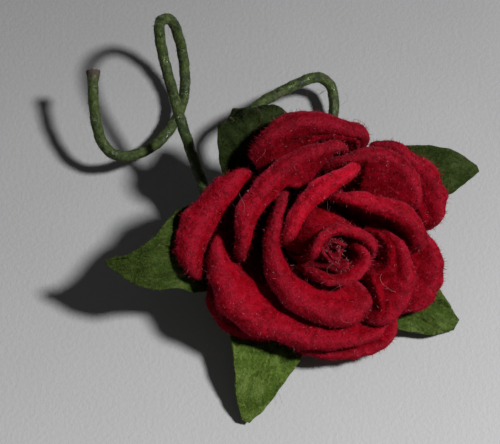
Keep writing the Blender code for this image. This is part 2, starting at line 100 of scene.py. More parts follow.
# name, inner end, outer end (degrees), crest height, lip droop,
# ridge radii and lip widths at five even places from the inner end to the outer end
petalTable = (
    ("petal_01", 25, -128, 10.2, 0.45, (1.80, 2.55, 2.35, 2.35, 2.60), (0.5, 0.8, 0.9, 0.9, 0.6)),
    ("petal_02", 220, -12, 10.3, 0.35, (2.20, 1.85, 1.75, 2.30, 4.30), (0.3, 0.5, 0.7, 0.8, 0.8)),
    ("petal_03", 95, 1, 9.6, 0.55, (4.50, 4.75, 5.30, 7.30, 8.85), (0.6, 1.2, 1.9, 1.9, 1.1)),
    ("petal_04", 182, 72, 10.0, 0.35, (4.40, 4.25, 4.60, 5.70, 8.00), (0.5, 1.2, 1.7, 1.7, 0.8)),
    ("petal_05", 316, 131, 9.3, 0.70, (6.75, 4.75, 4.45, 5.25, 5.90), (1.9, 2.5, 2.4, 1.1, 0.55)),
    ("petal_06", 18, -55, 8.8, 0.65, (6.00, 7.00, 7.60, 8.10, 8.70), (0.3, 1.1, 2.0, 1.8, 0.5)),
    ("petal_07", 197, 79, 9.0, 0.45, (7.90, 8.00, 7.85, 8.75, 9.55), (0.6, 1.5, 1.6, 1.2, 0.55)),
    ("petal_08", 95, 25, 8.6, 0.45, (7.50, 8.60, 9.80, 9.70, 9.40), (0.5, 0.9, 1.6, 1.5, 0.8)),
    ("petal_09", 322, 182, 7.9, 0.85, (11.2, 8.70, 8.00, 8.80, 10.2), (0.3, 1.5, 2.4, 3.0, 0.5)),
    ("petal_10", 203, 142, 7.2, 0.80, (12.8, 11.7, 10.35, 9.80, 9.90), (0.4, 2.3, 2.8, 2.0, 0.7)),
    ("petal_11", 132, 69, 7.6, 0.50, (10.9, 11.2, 11.0, 10.6, 11.2), (0.8, 1.6, 1.7, 1.5, 0.9)),
    ("petal_12", 62, 11, 7.2, 0.40, (11.5, 11.4, 11.8, 11.7, 11.4), (0.7, 1.3, 1.6, 1.5, 0.9)),
    ("petal_13", 13, -33, 6.9, 0.45, (9.50, 10.6, 11.0, 11.1, 10.6), (0.6, 1.5, 1.9, 1.8, 0.9)),
    ("petal_14", 324, 263, 6.0, 0.40, (11.7, 11.8, 11.1, 10.6, 10.5), (0.5, 0.8, 1.1, 0.8, 0.5)),
    ("petal_15", 257, 209, 4.9, 0.75, (9.80, 10.4, 11.0, 11.1, 10.7), (0.7, 1.1, 1.3, 1.1, 0.6)),
)

# how closely a petal's wall leans on the petal inside it, at the same five places
leaning = {
    "petal_03": (0.0, 0.0, 0.0, 0.0, 0.3),
    "petal_04": (0.0, 0.0, 0.0, 0.3, 0.5),
    "petal_05": (0.9, 0.7, 0.0, 0.0, 0.0),
    "petal_06": (0.5, 0.5, 0.5, 0.6, 0.6),
    "petal_07": (0.0, 0.3, 0.9, 1.0, 1.0),
    "petal_08": (1.0, 1.0, 1.0, 0.9, 0.8),
    "petal_09": (1.0, 1.0, 0.9, 0.3, 0.0),
    "petal_10": (0.0, 0.0, 0.0, 0.0, 0.3),
    "petal_11": (1.0, 1.0, 1.0, 1.0, 1.0),
    "petal_12": (1.0, 1.0, 1.0, 1.0, 1.0),
    "petal_13": (0.9, 0.9, 0.9, 0.9, 0.9),
    "petal_14": (0.2, 0.2, 0.2, 0.2, 0.2),
}
# how far the two petals of the closed bud lean in towards their tops
closing = {
    "petal_01": (0.3, 0.6, 0.8, 0.8, 0.3),
    "petal_02": (0.5, 1.1, 2.0, 1.6, 0.4),
}
notAtAll = (0.0, 0.0)
# a pressed groove along a petal: where it runs on the inner face (1 to 2), and its depth
grooves = {
    "petal_11": (1.50, 0.34),
    "petal_12": (1.55, 0.22),
    "petal_06": (1.60, 0.20),
}
# how light each petal is painted, beside the other petals', at the same five places: painted light and shade,
# paler where light falls on a petal and darker where it lies in shade
petalPaintedShading = {
    "petal_01": (1.0, 1.1, 1.15, 1.1, 1.0),
    "petal_02": (1.0, 1.2, 1.2, 1.1, 1.0),
    "petal_03": (1.3, 1.3, 1.1, 1.0, 0.9),
    "petal_04": (1.2, 1.5, 1.7, 1.6, 1.3),
    "petal_05": (0.9, 0.95, 1.0, 1.0, 0.9),
    "petal_07": (1.1, 1.15, 1.0, 0.78, 0.70),
    "petal_08": (0.75, 0.80, 0.80, 0.85, 0.90),
    "petal_09": (1.0, 1.0, 1.05, 1.1, 1.0),
    "petal_10": (0.9, 1.0, 1.05, 1.1, 1.1),
    "petal_11": (0.80, 0.66, 0.66, 0.70, 0.80),
    "petal_12": (0.80, 0.88, 0.95, 1.0, 0.95),
}
noPaintedShading = (1.0, 1.0, 1.0, 1.0, 1.0)


def inModel(points):
    # from the head's own frame to the model's frame
    return points @ headTurn.T + headPlace


def addMesh(name, points, faces, material, marks=None):
    mesh = bpy.data.meshes.new(name)
    mesh.from_pydata((np.asarray(points) * mm).tolist(), [], faces)
    for label, values in (marks or {}).items():
        mesh.attributes.new(label, "FLOAT", "POINT").data.foreach_set("value", np.asarray(values, np.float32))
    mesh.shade_smooth()
    if material:
        mesh.materials.append(material)
    thing = bpy.data.objects.new(name, mesh)
    bpy.context.scene.collection.objects.link(thing)
    return thing


def smoothValues(values, place):
    # a smooth curve through evenly spaced values; place runs from 0 to 1
    values = np.asarray(values, float)
    last = len(values) - 1
    spot = np.clip(place, 0.0, 1.0) * last
    index = np.minimum(spot.astype(int), last - 1)
    t = spot - index
    ends = np.concatenate(([2 * values[0] - values[1]], values, [2 * values[-1] - values[-2]]))
    before, a, b, after = (ends[index + k] for k in range(4))
    slopes = 0.5 * (b - before) * t * (1 - t) ** 2 - 0.5 * (after - a) * t * t * (1 - t)
    return a + (b - a) * t * t * (3 - 2 * t) + slopes


def lumpField(points, size, seed):
    offset = Vector((seed * 7.31, seed * 3.17, seed * 1.93))
    flat = points.reshape(-1, 3) / size
    values = [noise.noise(Vector(p) + offset) for p in flat]
    return np.array(values).reshape(points.shape[:-1])


def noiseLine(along, row, level=0.0):
    # smooth noise for each value of along; row and level pick the line that it is read on
    return np.array([noise.noise(Vector((a, row, level))) for a in along])


def footRadius(layer):
    return head["footRadius"] + head["footSpread"] * layer


def cupShare(height):
    level = np.clip(height / head["cupHeight"], 0.0, 1.0)
    return 1.0 - (1.0 - level) ** head["cupFullness"]


def wallRadius(layer, height):
    foot = footRadius(layer)
    return foot + (layer - foot) * cupShare(height)


def layerOf(ridge, crest):
    share = cupShare(crest)
    return (ridge - head["footRadius"] * (1.0 - share)) / (head["footSpread"] * (1.0 - share) + share)


def budOffset(height):
    reach = head["budLean"] * np.clip(height / head["budHeight"], 0.0, 1.1) ** 2
    angle = math.radians(head["budDirection"])
    return reach * math.cos(angle), reach * math.sin(angle)


calyx = {
    "paper": 0.30,
    "layerMargin": 1.59,
    "bowlEnd": 10.0,
    "halfWidth": 4.3,
    "widest": 9.5,
    "cupping": 0.03,
    "valleyLeast": 7.3,
    "hole": 0.56,
    "edgeStations": 46,
    "rows": 60,
    "creases": 7,
    "creaseDepth": 0.34,
    "creaseWidth": 0.26,
    "creaseReach": (8.5, 17.5),  # how far out along the leaf a crease passes
    "creaseAside": 2.5,
    "creaseDepths": (0.4, 1.0),  # shares of the depth and width above
    "creaseWidths": (0.7, 1.8),
    "creaseSeed": 70,
    "edgeWander": 0.09,
    "wanderSize": 0.9,
    "stationEase": 1.6,  # crowds the outline's points towards each tip
    "valleyLength": 2.5,
    "valleyEase": 0.7,
    "lookupEnd": 24.0,
    "lookupSteps": 481,
    "bendProbe": 0.1,
    "streaks": ((0.13, 1.5), (0.07, 0.6)),  # depth and size of the unevenness along the leaf
    "streakStretch": (0.45, 1.2),
    "wave": (0.22, 3.4),
    "seed": 60,
    "freeFrom": 7.0,  # inside this the sheet is pressed against the petals
    "freeOver": 3.0,
    "edgeBand": 0.8,
}

# direction, length, where the bend starts, how far it turns, over what length, how light the leaf is painted
# (painted light and shade: darker where a leaf lies in shade), then half widths from the widest place to the
# tip: on the side before the middle line, and after it
sepalTable = (
    (193.0, 20.6, 12.0, -60.0, 6.5, 0.47, (4.3, 4.25, 3.4, 1.6, 0.5, 0.15), (4.4, 4.2, 3.4, 3.2, 2.3, 0.3)),
    (257.0, 19.8, 11.0, -44.2, 7.0, 0.92, (4.6, 4.35, 3.45, 2.6, 1.7, 0.4), (4.2, 3.65, 2.85, 2.1, 1.4, 0.4)),
    (336.0, 18.3, 10.5, -43.0, 6.0, 0.64, (4.3, 4.1, 3.7, 3.1, 2.4, 0.9), (3.7, 3.3, 2.7, 1.9, 1.1, 0.2)),
    (26.0, 18.9, 11.0, -45.0, 7.0, 0.30, (3.4, 2.5, 1.7, 1.2, 0.8, 0.2), (5.2, 5.1, 4.6, 3.9, 2.7, 0.4)),
    (124.0, 16.4, 10.6, -115.0, 3.5, 0.17, (4.3, 4.1, 3.6, 2.8, 1.8, 0.1), (4.3, 4.1, 3.6, 2.8, 1.8, 0.1)),
)


def calyxLayer():
    outermost = 0.0
    for row in petalTable:
        outermost = max(outermost, float(layerOf(max(row[5]), row[3])))
    return outermost + calyx["layerMargin"]


bowlLayer = calyxLayer()


def bowlHeight(reach):
    hub = footRadius(bowlLayer)
    reach = np.asarray(reach, float)
    inside = np.clip(reach, hub, calyx["bowlEnd"])
    left = 1.0 - (inside - hub) / (bowlLayer - hub)
    fullness = head["cupFullness"]
    height = head["cupHeight"] * (1.0 - left ** (1.0 / fullness))
    slope = head["cupHeight"] / fullness * left ** (1.0 / fullness - 1.0) / (bowlLayer - hub)
    return height + slope * np.maximum(reach - calyx["bowlEnd"], 0.0)


def footHeight(layer):
    clear = 0.5 * (petals["calyxPaper"] + petals["paper"]) + head["footGap"]
    height = np.full_like(layer, clear)
    for _ in range(12):
        height = clear + bowlHeight(wallRadius(layer, height) + 0.5 * petals["paper"])
    return height


def cornerHeight(place):
    side = np.abs(2.0 * place - 1.0)
    out = np.maximum(side - petals["cornerStart"], 0.0) / (1.0 - petals["cornerStart"])
    return 1.0 - petals["cornerDrop"] * out ** petals["cornerRounding"]


def petalRound(row):
    # at each whole degree round the head: layer of the wall, layer of the lip's edge and height under it
    name, innerEnd, outerEnd, crest, droop, ridges, lips = row
    place = ((innerEnd - np.arange(360)) % 360) / (innerEnd - outerEnd)
    inward = smoothValues(closing.get(name, notAtAll), place)
    wall = layerOf(smoothValues(ridges, place) + inward, crest)
    top = crest * cornerHeight(np.minimum(place, 1.0))
    lipEdge = wallRadius(wall, top) - inward + np.maximum(smoothValues(lips, place), inward)
    return place <= 1.0, wall, layerOf(lipEdge, top), top - droop - petals["leanGap"]


def leaningRoom():
    # how far each petal's wall can lean on the next petal inside it; a lip that hangs low is in its way
    rounds = [petalRound(row) for row in petalTable]
    slope = math.tan(math.radians(petals["faceSlope"]))
    rooms = {}
    for row, (here, wall, lip, under) in zip(petalTable, rounds):
        inside = np.full(360, petals["coreRadius"] + petals["leanGap"])
        for there, otherWall, otherLip, otherUnder in rounds:
            faceAbove = row[3] + petals["lipTop"] - slope * np.maximum(wall - otherLip, 0.0)
            reach = np.where(otherUnder < faceAbove, otherLip, otherWall)
            inside = np.where(there & (otherWall < wall), np.maximum(inside, reach), inside)
        room = np.clip(wall - inside - petals["paper"] - petals["leanGap"], 0.0, petals["leanMost"])
        room = np.where(here, room, petals["leanMost"])
        near = range(-petals["leanWindow"], petals["leanWindow"] + 1)
        least = np.min([np.roll(room, k) for k in near], axis=0)
        calm = np.mean([np.roll(least, k) for k in near], axis=0)
        rooms[row[0]] = np.append(calm, calm[0])
    return rooms


rooms = leaningRoom()


def wallTop(row, place, wander):
    # the lip's sizes, and where the wall ends and the inner face starts to open
    name, innerEnd, outerEnd, crest, droop, ridges, lips = row
    bend = np.maximum(0.5 * smoothValues(lips, place) * (1.0 + wander), petals["lipBend"])
    mostTurned = math.cos(math.radians(petals["lipRoll"]))
    end = np.arccos(np.maximum(1.0 - (droop + petals["lipTop"]) / bend, mostTurned))
    rise = math.sin(math.radians(petals["faceSlope"]))
    near = np.minimum(petals["faceBend"], bend)
    ridge = smoothValues(ridges, place)
    inner = ridge + bend * (2.0 - np.sin(np.minimum(end, 0.5 * math.pi)) - rise) - near * (1.0 - rise)
    degree = (innerEnd + (outerEnd - innerEnd) * place) % 360.0
    closeness = np.clip(smoothValues(leaning.get(name, notAtAll), place), 0.0, 1.0)
    layer = layerOf(ridge, crest) - closeness * np.interp(degree, np.arange(361), rooms[name])
    slope = math.radians(petals["faceSlope"])
    rolled = bend * (1.0 - math.cos(slope)) + near * math.cos(slope)
    crestHeight = crest + petals["lipTop"] + 0.5 * wander
    height = crestHeight - bend
    for _ in range(6):
        face = np.maximum(inner - wallRadius(layer, height), 0.0)
        height = crestHeight - rolled - face * math.tan(slope)
    inward = smoothValues(closing.get(name, notAtAll), place)
    return bend, end, near, face, layerOf(inner - face + inward, height), height, inward


def petalPoints(row, place, step, wander):
    # middle of the paper; step runs 0 to 1 up the wall, 1 to 2 over the inner face, 2 to 3 over the lip
    innerEnd, outerEnd = row[1:3]
    bend, end, near, face, layer, wallHeight, inward = wallTop(row, place, wander)
    slope = math.radians(petals["faceSlope"])
    foot = footHeight(layer)
    tall = wallHeight - foot
    height = foot + tall * cornerHeight(place) * np.minimum(step, 1.0)
    lean = np.clip((step - petals["closingStart"]) / (1.0 - petals["closingStart"]), 0.0, 1.0)
    radius = wallRadius(layer, height) - inward * lean * lean * (3.0 - 2.0 * lean)
    share = petals["faceBendShare"]
    opening = np.clip((step - 1.0) / share, 0.0, 1.0)
    heading = 0.5 * math.pi - opening * (0.5 * math.pi - slope)
    ahead = face * np.clip((step - 1.0 - share) / (1.0 - share), 0.0, 1.0)
    over = slope - np.clip(step - 2.0, 0.0, 1.0) * (slope + end)
    out = near * (1.0 - np.sin(heading)) + ahead + bend * (math.sin(slope) - np.sin(over))
    up = near * np.cos(heading) + bend * (np.cos(over) - math.cos(slope))
    span = math.radians(outerEnd - innerEnd)
    before = np.maximum(place - petals["cornerProbe"], 0.0)
    after = np.minimum(place + petals["cornerProbe"], 1.0)
    fall = (cornerHeight(before) - cornerHeight(after)) * tall
    aside = np.arctan2(fall, radius * abs(span) * (after - before))
    angle = math.radians(innerEnd) + span * place + math.copysign(1.0, span) * up * np.sin(aside) / radius
    height = height + ahead * math.tan(slope) + up * np.cos(aside)
    shiftX, shiftY = budOffset(height)
    reach = radius + out
    return np.stack([reach * np.cos(angle) + shiftX, reach * np.sin(angle) + shiftY, height], axis=-1)


# how far in from the edge the points on a rounded rim lie, in half thicknesses
rimTurns = [1.0 - math.cos(math.radians(degrees)) for degrees in (64, 44, 24, 0)]


def edgeCrowded(count, length, rim):
    # even places from 0 to 1 with a few more inside each end, so that the paper's edge is round
    near = [rim * turn / length for turn in rimTurns[::-1]]
    inner = np.linspace(rim / length, 1.0 - rim / length, count)
    return np.concatenate((near, inner, [1.0 - n for n in near[::-1]]))


def sheetNormals(mid, wraps):
    along = np.roll(mid, -1, 0) - np.roll(mid, 1, 0) if wraps else np.gradient(mid, axis=0)
    normal = np.cross(along, np.gradient(mid, axis=1))
    return normal / np.maximum(np.linalg.norm(normal, axis=2, keepdims=True), 1e-9)


def closedSheet(mid, half, wraps=False):
    # a closed body of paper round a middle surface; the thickness runs out to nothing at the edges
    columns, rows = mid.shape[:2]
    normal = sheetNormals(mid, wraps)
    front = np.arange(columns * rows).reshape(columns, rows)
    edge = np.zeros((columns, rows), bool)
    edge[:, 0] = edge[:, -1] = True
    if not wraps:
        edge[0, :] = edge[-1, :] = True
    back = front.copy()
    back[~edge] = columns * rows + np.arange((~edge).sum())
    half = np.where(edge, 0.0, half)[..., None]
    points = np.concatenate(((mid + normal * half).reshape(-1, 3), (mid - normal * half)[~edge]))
    faces = []
    for layer, flip in ((front, False), (back, True)):
        following = np.roll(layer, -1, 0) if wraps else layer[1:]
        here = layer if wraps else layer[:-1]
        quads = np.stack([here[:, :-1], following[:, :-1], following[:, 1:], here[:, 1:]], -1).reshape(-1, 4)
        faces += (quads[:, ::-1] if flip else quads).tolist()
    return points, faces, ~edge


def marksOf(inner, **fields):
    # a value for each point of a closed sheet: the front's points first, then the back's
    return {label: np.concatenate((values.reshape(-1), values[inner])) for label, values in fields.items()}


def outwards(points, faces):
    # turns all faces over if the closed body is inside out
    quads = np.array(faces)
    a, b, c, d = (points[quads[:, k]] for k in range(4))
    volume = np.einsum("ij,ij->i", a, np.cross(b, c)).sum() + np.einsum("ij,ij->i", a, np.cross(c, d)).sum()
    return quads[:, ::-1].tolist() if volume < 0.0 else faces


def roundedHalf(distance, paper):
    rim = 0.5 * paper
    level = np.clip(distance / rim, 0.0, 1.0)
    return rim * np.sqrt(1.0 - (1.0 - level) ** 2)


def addLumps(mid, lumps, seed, strength, wraps=False):
    for number, (size, depth) in enumerate(lumps):
        lift = depth * strength * lumpField(mid, size, seed + 11 * number)
        mid = mid + sheetNormals(mid, wraps) * lift[..., None]
    return mid


def lengthsAlong(points, axis):
    steps = np.linalg.norm(np.diff(points, axis=axis), axis=-1)
    pad = [(0, 0), (0, 0)]
    pad[axis] = (1, 0)
    return np.cumsum(np.pad(steps, pad), axis=axis)


def makePetal(row, seed, material):
    rim = 0.5 * petals["paper"]
    middle = np.linspace(0.0, 1.0, petals["roughColumns"])[:, None]
    rough = petalPoints(row, middle, np.full_like(middle, 2.0), 0.0)
    wide = lengthsAlong(rough, 0)[-1, 0]
    place = edgeCrowded(petals["columns"], wide, rim)
    place = place - petals["crowding"] * np.sin(math.tau * place) / math.tau
    wander = petals["edgeWander"] * noiseLine(place * wide / petals["wanderSize"], seed * 2.3, 0.5)[:, None]
    lipSteps = np.linspace(2.0, 3.0, petals["roughRows"])[None, :].repeat(len(place), 0)
    lipPath = petalPoints(row, place[:, None], lipSteps, wander)
    lipLong = lengthsAlong(lipPath, 1)[:, -1:]
    rimShare = np.minimum(rim / lipLong, petals["rimMost"])
    lip = 2.0 + np.linspace(0.0, 1.0, petals["topRows"] + 1)[None, 1:] * (1.0 - rimShare)
    wall = np.concatenate((np.linspace(0.0, 1.0, petals["wallRows"]),
                           np.linspace(1.0, 2.0, petals["faceRows"] + 1)[1:]))
    wall = wall[None, :].repeat(len(place), 0)
    step = np.concatenate((wall, lip, 3.0 - rimShare * np.array(rimTurns)), axis=1)
    mid = petalPoints(row, place[:, None].repeat(step.shape[1], 1), step, wander)
    reach = lengthsAlong(mid, 0)
    side = np.minimum(reach, reach[-1:] - reach)
    tall = lengthsAlong(mid, 1)
    toEdge = np.minimum(side, tall[:, -1:] - tall)
    half = roundedHalf(np.minimum(toEdge, tall), petals["paper"])
    mid = addLumps(mid, petals["lumps"], seed, np.clip(tall / petals["calmBelow"], 0.0, 1.0))
    groovePlace, grooveDepth = grooves.get(row[0], (0.0, 0.0))
    across = np.exp(-((step - groovePlace) / petals["grooveWidth"]) ** 2)
    pressed = grooveDepth * across * np.sin(math.pi * place[:, None]) ** 0.5
    mid = mid - sheetNormals(mid, False) * pressed[..., None]
    points, faces, inner = closedSheet(mid, half)
    # lift runs up the face and lip: it thickens the nap there, and in the colour it is painted light on the
    # raised paper and painted shade down the wall
    lift = np.clip(0.5 * (step - 1.0), 0.0, 1.0)
    # a painted highlight along the lip's crest, joined to the pale band at the paper's edge
    wearAndCrestHighlight = petals["wearAndCrestHighlight"] * np.exp(-((step - petals["crestHighlightAt"]) / petals["crestHighlightWidth"]) ** 2)
    nearEdge = np.maximum(np.clip(1.0 - toEdge / petals["edgeBand"], 0.0, 1.0), wearAndCrestHighlight)
    least = petals["fuzzLeast"]
    fuzz = np.clip((step - petals["fuzzFrom"]) / petals["fuzzOver"], 0.0, 1.0)
    fuzz = fuzz * (least + (1.0 - least) * lift)
    # the painted light and shade along the petal, which scales its colour
    tone = smoothValues(petalPaintedShading.get(row[0], noPaintedShading), place)[:, None] + 0.0 * lift
    marks = marksOf(inner, lift=lift, nearEdge=nearEdge, fuzz=fuzz, tone=tone)
    return addMesh(row[0] + "_paper", inModel(points), outwards(points, faces), material, marks)


core = {
    "paper": 0.36,
    "turnGap": 0.14,
    "turns": 1.9,
    "startRadius": 0.30,
    "ragged": 1.7,
    "raggedness": 3.1,  # how quickly the top edge rises and falls from turn to turn
    "edgeBand": 0.9,
    # the top edge shows more of the bright patches: painted light on the raised edge
    "lift": 0.3,
    "worn": 0.45,
    # the rolled core's colour is scaled darker: painted shade down in the middle of the head
    "tone": 0.75,
    "foot": 0.85,
    "top": 10.3,
    "columns": 150,
    "rows": 34,
    "lumps": ((0.9, 0.20), (0.35, 0.08)),
    "seed": 40,
}


def makeCore(material):
    # a strip rolled up round the end of the stem, its top edge a little ragged
    turn = np.linspace(0.0, core["turns"], core["columns"])[:, None]
    row = edgeCrowded(core["rows"], core["top"] - core["foot"], 0.5 * core["paper"])[None, :]
    ragged = noiseLine(turn[:, 0] * core["raggedness"], 4.2)[:, None]
    height = core["foot"] + (core["top"] + core["ragged"] * ragged - core["foot"]) * row
    radius = core["startRadius"] + (core["paper"] + core["turnGap"]) * turn + 0.0 * row
    shiftX, shiftY = budOffset(height)
    angle = math.tau * turn
    mid = np.stack([radius * np.cos(angle) + shiftX, radius * np.sin(angle) + shiftY, height], axis=-1)
    around = lengthsAlong(mid, 0)
    tall = lengthsAlong(mid, 1)
    side = np.minimum(around, around[-1:] - around)
    distance = np.minimum(side, np.minimum(tall, tall[:, -1:] - tall))
    mid = addLumps(mid, core["lumps"], core["seed"], np.clip(tall / petals["calmBelow"], 0.0, 1.0))
    points, faces, inner = closedSheet(mid, roundedHalf(distance, core["paper"]))
    nearEdge = np.clip(1.0 - (tall[:, -1:] - tall) / core["edgeBand"], 0.0, 1.0)
    marks = marksOf(inner, lift=core["lift"] * nearEdge, nearEdge=core["worn"] * nearEdge, fuzz=nearEdge,
                    tone=np.full_like(nearEdge, core["tone"]))
    return addMesh("bud_core_paper", inModel(points), outwards(points, faces), material, marks)


def sepalLine(reach, bendStart, bendTurn, bendLength):
    # distance out and height along a calyx point's middle line, as a table that is looked up
    table = np.linspace(0.0, calyx["lookupEnd"], calyx["lookupSteps"])
    slope = np.arctan(np.gradient(bowlHeight(table), table))
    share = np.clip((table - bendStart) / bendLength, 0.0, 1.0)
    probe = calyx["bendProbe"]
    start = math.atan2(float(bowlHeight(bendStart) - bowlHeight(bendStart - probe)), probe)
    turned = start + math.radians(bendTurn) * share * share * (3 - 2 * share)
    heading = np.where(table > bendStart, turned, slope)
    step = table[1] - table[0]
    out = np.where(table > bendStart, np.cos(heading), 1.0) * step
    up = np.where(table > bendStart, np.sin(heading), np.tan(heading)) * step
    outSum = np.concatenate(([0.0], np.cumsum(0.5 * (out[1:] + out[:-1]))))
    upSum = np.concatenate(([0.0], np.cumsum(0.5 * (up[1:] + up[:-1]))))
    return np.interp(reach, table, outSum), np.interp(reach, table, upSum)


def sepalHalfWidth(reach, row, side):
    out = np.clip((reach - calyx["widest"]) / (row[1] - calyx["widest"]), 0.0, 1.0)
    width = smoothValues(row[6] if side < 0.0 else row[7], out)
    ragged = noiseLine(reach / calyx["wanderSize"], side * 3.0, row[0])
    return np.maximum(width + calyx["edgeWander"] * ragged, 0.0) * np.where(out < 1.0, 1.0, 0.0)


def calyxOutline():
    # round the sheet's edge: which sepal, distance along its middle line, distance to the side
    order = sorted(range(len(sepalTable)), key=lambda i: sepalTable[i][0])
    outline = []
    ease = 1.0 - (1.0 - np.linspace(0.0, 1.0, calyx["edgeStations"])) ** calyx["stationEase"]
    for spot, index in enumerate(order):
        direction, length = sepalTable[index][:2]
        before = (direction - sepalTable[order[spot - 1]][0]) % 360.0
        after = (sepalTable[order[(spot + 1) % len(order)]][0] - direction) % 360.0
        for side, gap in ((-1.0, before), (1.0, after)):
            half = math.radians(0.5 * gap)
            valley = max(calyx["halfWidth"] / math.sin(half), calyx["valleyLeast"])
            start, widest = valley * math.cos(half), valley * math.sin(half)
            reach = start + (length - start) * ease
            blend = np.clip((reach - start) / calyx["valleyLength"], 0.0, 1.0) ** calyx["valleyEase"]
            aside = side * (widest * (1.0 - blend) + sepalHalfWidth(reach, sepalTable[index], side) * blend)
            edge = [(index, r, a) for r, a in zip(reach, aside)]
            outline += edge if side < 0.0 else edge[::-1][1:-1]
    return outline


def sepalCreases(out, side, number):
    # sharp folds where the leaf was pinched and creased
    rng = np.random.default_rng(calyx["creaseSeed"] + number)
    lift = np.zeros_like(out)
    for _ in range(calyx["creases"]):
        turn = rng.uniform(0.0, math.pi)
        ahead = out - rng.uniform(*calyx["creaseReach"])
        aside = side - rng.uniform(-calyx["creaseAside"], calyx["creaseAside"])
        away = ahead * math.cos(turn) + aside * math.sin(turn)
        depth = calyx["creaseDepth"] * rng.uniform(*calyx["creaseDepths"]) * rng.choice((-1.0, 1.0))
        width = calyx["creaseWidth"] * rng.uniform(*calyx["creaseWidths"])
        lift += depth * np.exp(-np.abs(away) / width)
    return lift


def makeCalyx(material):
    outline = calyxOutline()
    which = np.array([o[0] for o in outline])
    reach = np.array([o[1] for o in outline])[:, None]
    aside = np.array([o[2] for o in outline])[:, None]
    far = np.hypot(reach, aside)
    rim = 0.5 * calyx["paper"]
    hub = calyx["hole"]
    rows = np.linspace(0.0, 1.0, calyx["rows"])[None, :]
    distance = hub + (far - rim - hub) * rows
    distance = np.concatenate((distance, far - rim * np.array(rimTurns)), axis=1)
    share = distance / far
    side = aside * share
    out, height, crease = (np.zeros_like(distance) for _ in range(3))
    angle, length, tone = (np.zeros((len(which), 1)) for _ in range(3))
    for index, row in enumerate(sepalTable):
        mine = which == index
        out[mine], height[mine] = sepalLine((reach * share)[mine], *row[2:5])
        crease[mine] = sepalCreases((reach * share)[mine], side[mine], index)
        angle[mine] = math.radians(row[0])
        length[mine] = row[1]
        # each leaf's painted light and shade
        tone[mine] = row[5]
    along = np.maximum(reach * share - calyx["bowlEnd"], 0.0) / (length - calyx["bowlEnd"])
    height = height + calyx["cupping"] * side * side * along
    mid = np.stack([out * np.cos(angle) - side * np.sin(angle),
                    out * np.sin(angle) + side * np.cos(angle), height], axis=-1)
    lengthwise, sideways = calyx["streakStretch"]
    streak = np.stack([out * lengthwise, side * sideways, angle + 0.0 * out], axis=-1)
    free = np.clip((distance - calyx["freeFrom"]) / calyx["freeOver"], 0.0, 1.0)
    lift = np.zeros_like(out)
    for number, (depth, size) in enumerate(calyx["streaks"]):
        lift = lift + depth * lumpField(streak, size, calyx["seed"] + number)
    depth, size = calyx["wave"]
    lift = lift + depth * lumpField(mid, size, calyx["seed"] + len(calyx["streaks"]))
    mid = mid + sheetNormals(mid, True) * ((lift + crease) * free)[..., None]
    edge = np.minimum(far - distance, distance - hub)
    points, faces, inner = closedSheet(mid, roundedHalf(edge, calyx["paper"]), wraps=True)
    nearEdge = np.clip(1.0 - (far - distance) / calyx["edgeBand"], 0.0, 1.0)
    marks = marksOf(inner, acrossLeaf=side, alongLeaf=out, nearEdge=nearEdge, leafTone=tone + 0.0 * out)
    return addMesh("calyx_paper_sheet", inModel(points), outwards(points, faces), material, marks)


stem = {
    "diameter": 1.1,
    "reach": 0.45,
    "belowHub": 0.6,
    "spacing": 0.14,
    "stepsPerPoint": 20,
    "sides": 16,
    "pitch": 1.9,
    "seam": 0.07,
    "seamShare": 0.86,  # how much of a turn the strip's edge takes to rise
    "seamLeast": 0.15,
    "flare": 1.34,
    "flareFrom": 1.1,  # this far from the cut end the paper starts to open
    "flareFull": 0.1,
    "lump": 0.075,
    "lumpScale": 1100.0,
    "seed": 3,
}

# the stem's route in millimetres, from under the calyx to the cut end
stemPoints = (
    (1.20, 0.30, 1.55), (1.25, 1.30, 0.85), (1.60, 3.00, 0.52), (2.40, 5.20, 0.50),
    (3.60, 8.20, 0.70), (4.80, 11.0, 1.25), (5.40, 13.5, 2.00), (5.40, 15.4, 2.50),
    (4.90, 16.6, 3.00), (3.80, 16.7, 4.00), (2.50, 16.0, 4.70), (0.10, 14.2, 5.70),
    (-2.30, 12.0, 6.90), (-3.40, 10.2, 7.40), (-3.50, 8.00, 6.90), (-3.90, 5.90, 4.60),
    (-4.50, 4.20, 1.80), (-5.30, 2.60, 0.55), (-6.40, 1.40, 1.70), (-7.30, 1.30, 4.00),
    (-7.90, 2.70, 6.40), (-9.30, 6.50, 7.70), (-10.3, 9.30, 8.90), (-11.3, 12.6, 10.2),
    (-12.1, 15.6, 11.0), (-12.5, 18.4, 10.9), (-12.3, 20.3, 9.60), (-11.3, 20.9, 8.20),
    (-10.5, 19.6, 5.80), (-10.1, 17.3, 3.90), (-10.2, 15.2, 2.80), (-11.0, 12.8, 2.10),
    (-12.6, 10.2, 2.30), (-14.6, 8.30, 3.20), (-16.6, 7.50, 4.10), (-18.0, 8.00, 5.00),
    (-18.8, 9.60, 6.00), (-19.2, 12.2, 7.20), (-19.3, 15.2, 8.00),
)


def newTree(name, sizes):
    tree = bpy.data.node_groups.new(name, "GeometryNodeTree")
    tree.interface.new_socket("Geometry", in_out="INPUT", socket_type="NodeSocketGeometry")
    for label, kind in sizes:
        tree.interface.new_socket(label, in_out="INPUT", socket_type="NodeSocket" + kind)
    tree.interface.new_socket("Geometry", in_out="OUTPUT", socket_type="NodeSocketGeometry")
    return tree, tree.nodes.new("NodeGroupInput"), tree.nodes.new("NodeGroupOutput")


def fillInputs(tree, node, inputs):
    # another node's output is linked; a plain value is set on the socket itself
    for label, value in inputs.items():
        if isinstance(value, bpy.types.NodeSocket):
            tree.links.new(value, node.inputs[label])
        else:
            node.inputs[label].default_value = value


def addNode(tree, kind, inputs=None, **settings):
    node = tree.nodes.new(kind)
    for label, value in settings.items():
        setattr(node, label, value)
    fillInputs(tree, node, inputs or {})
    return node


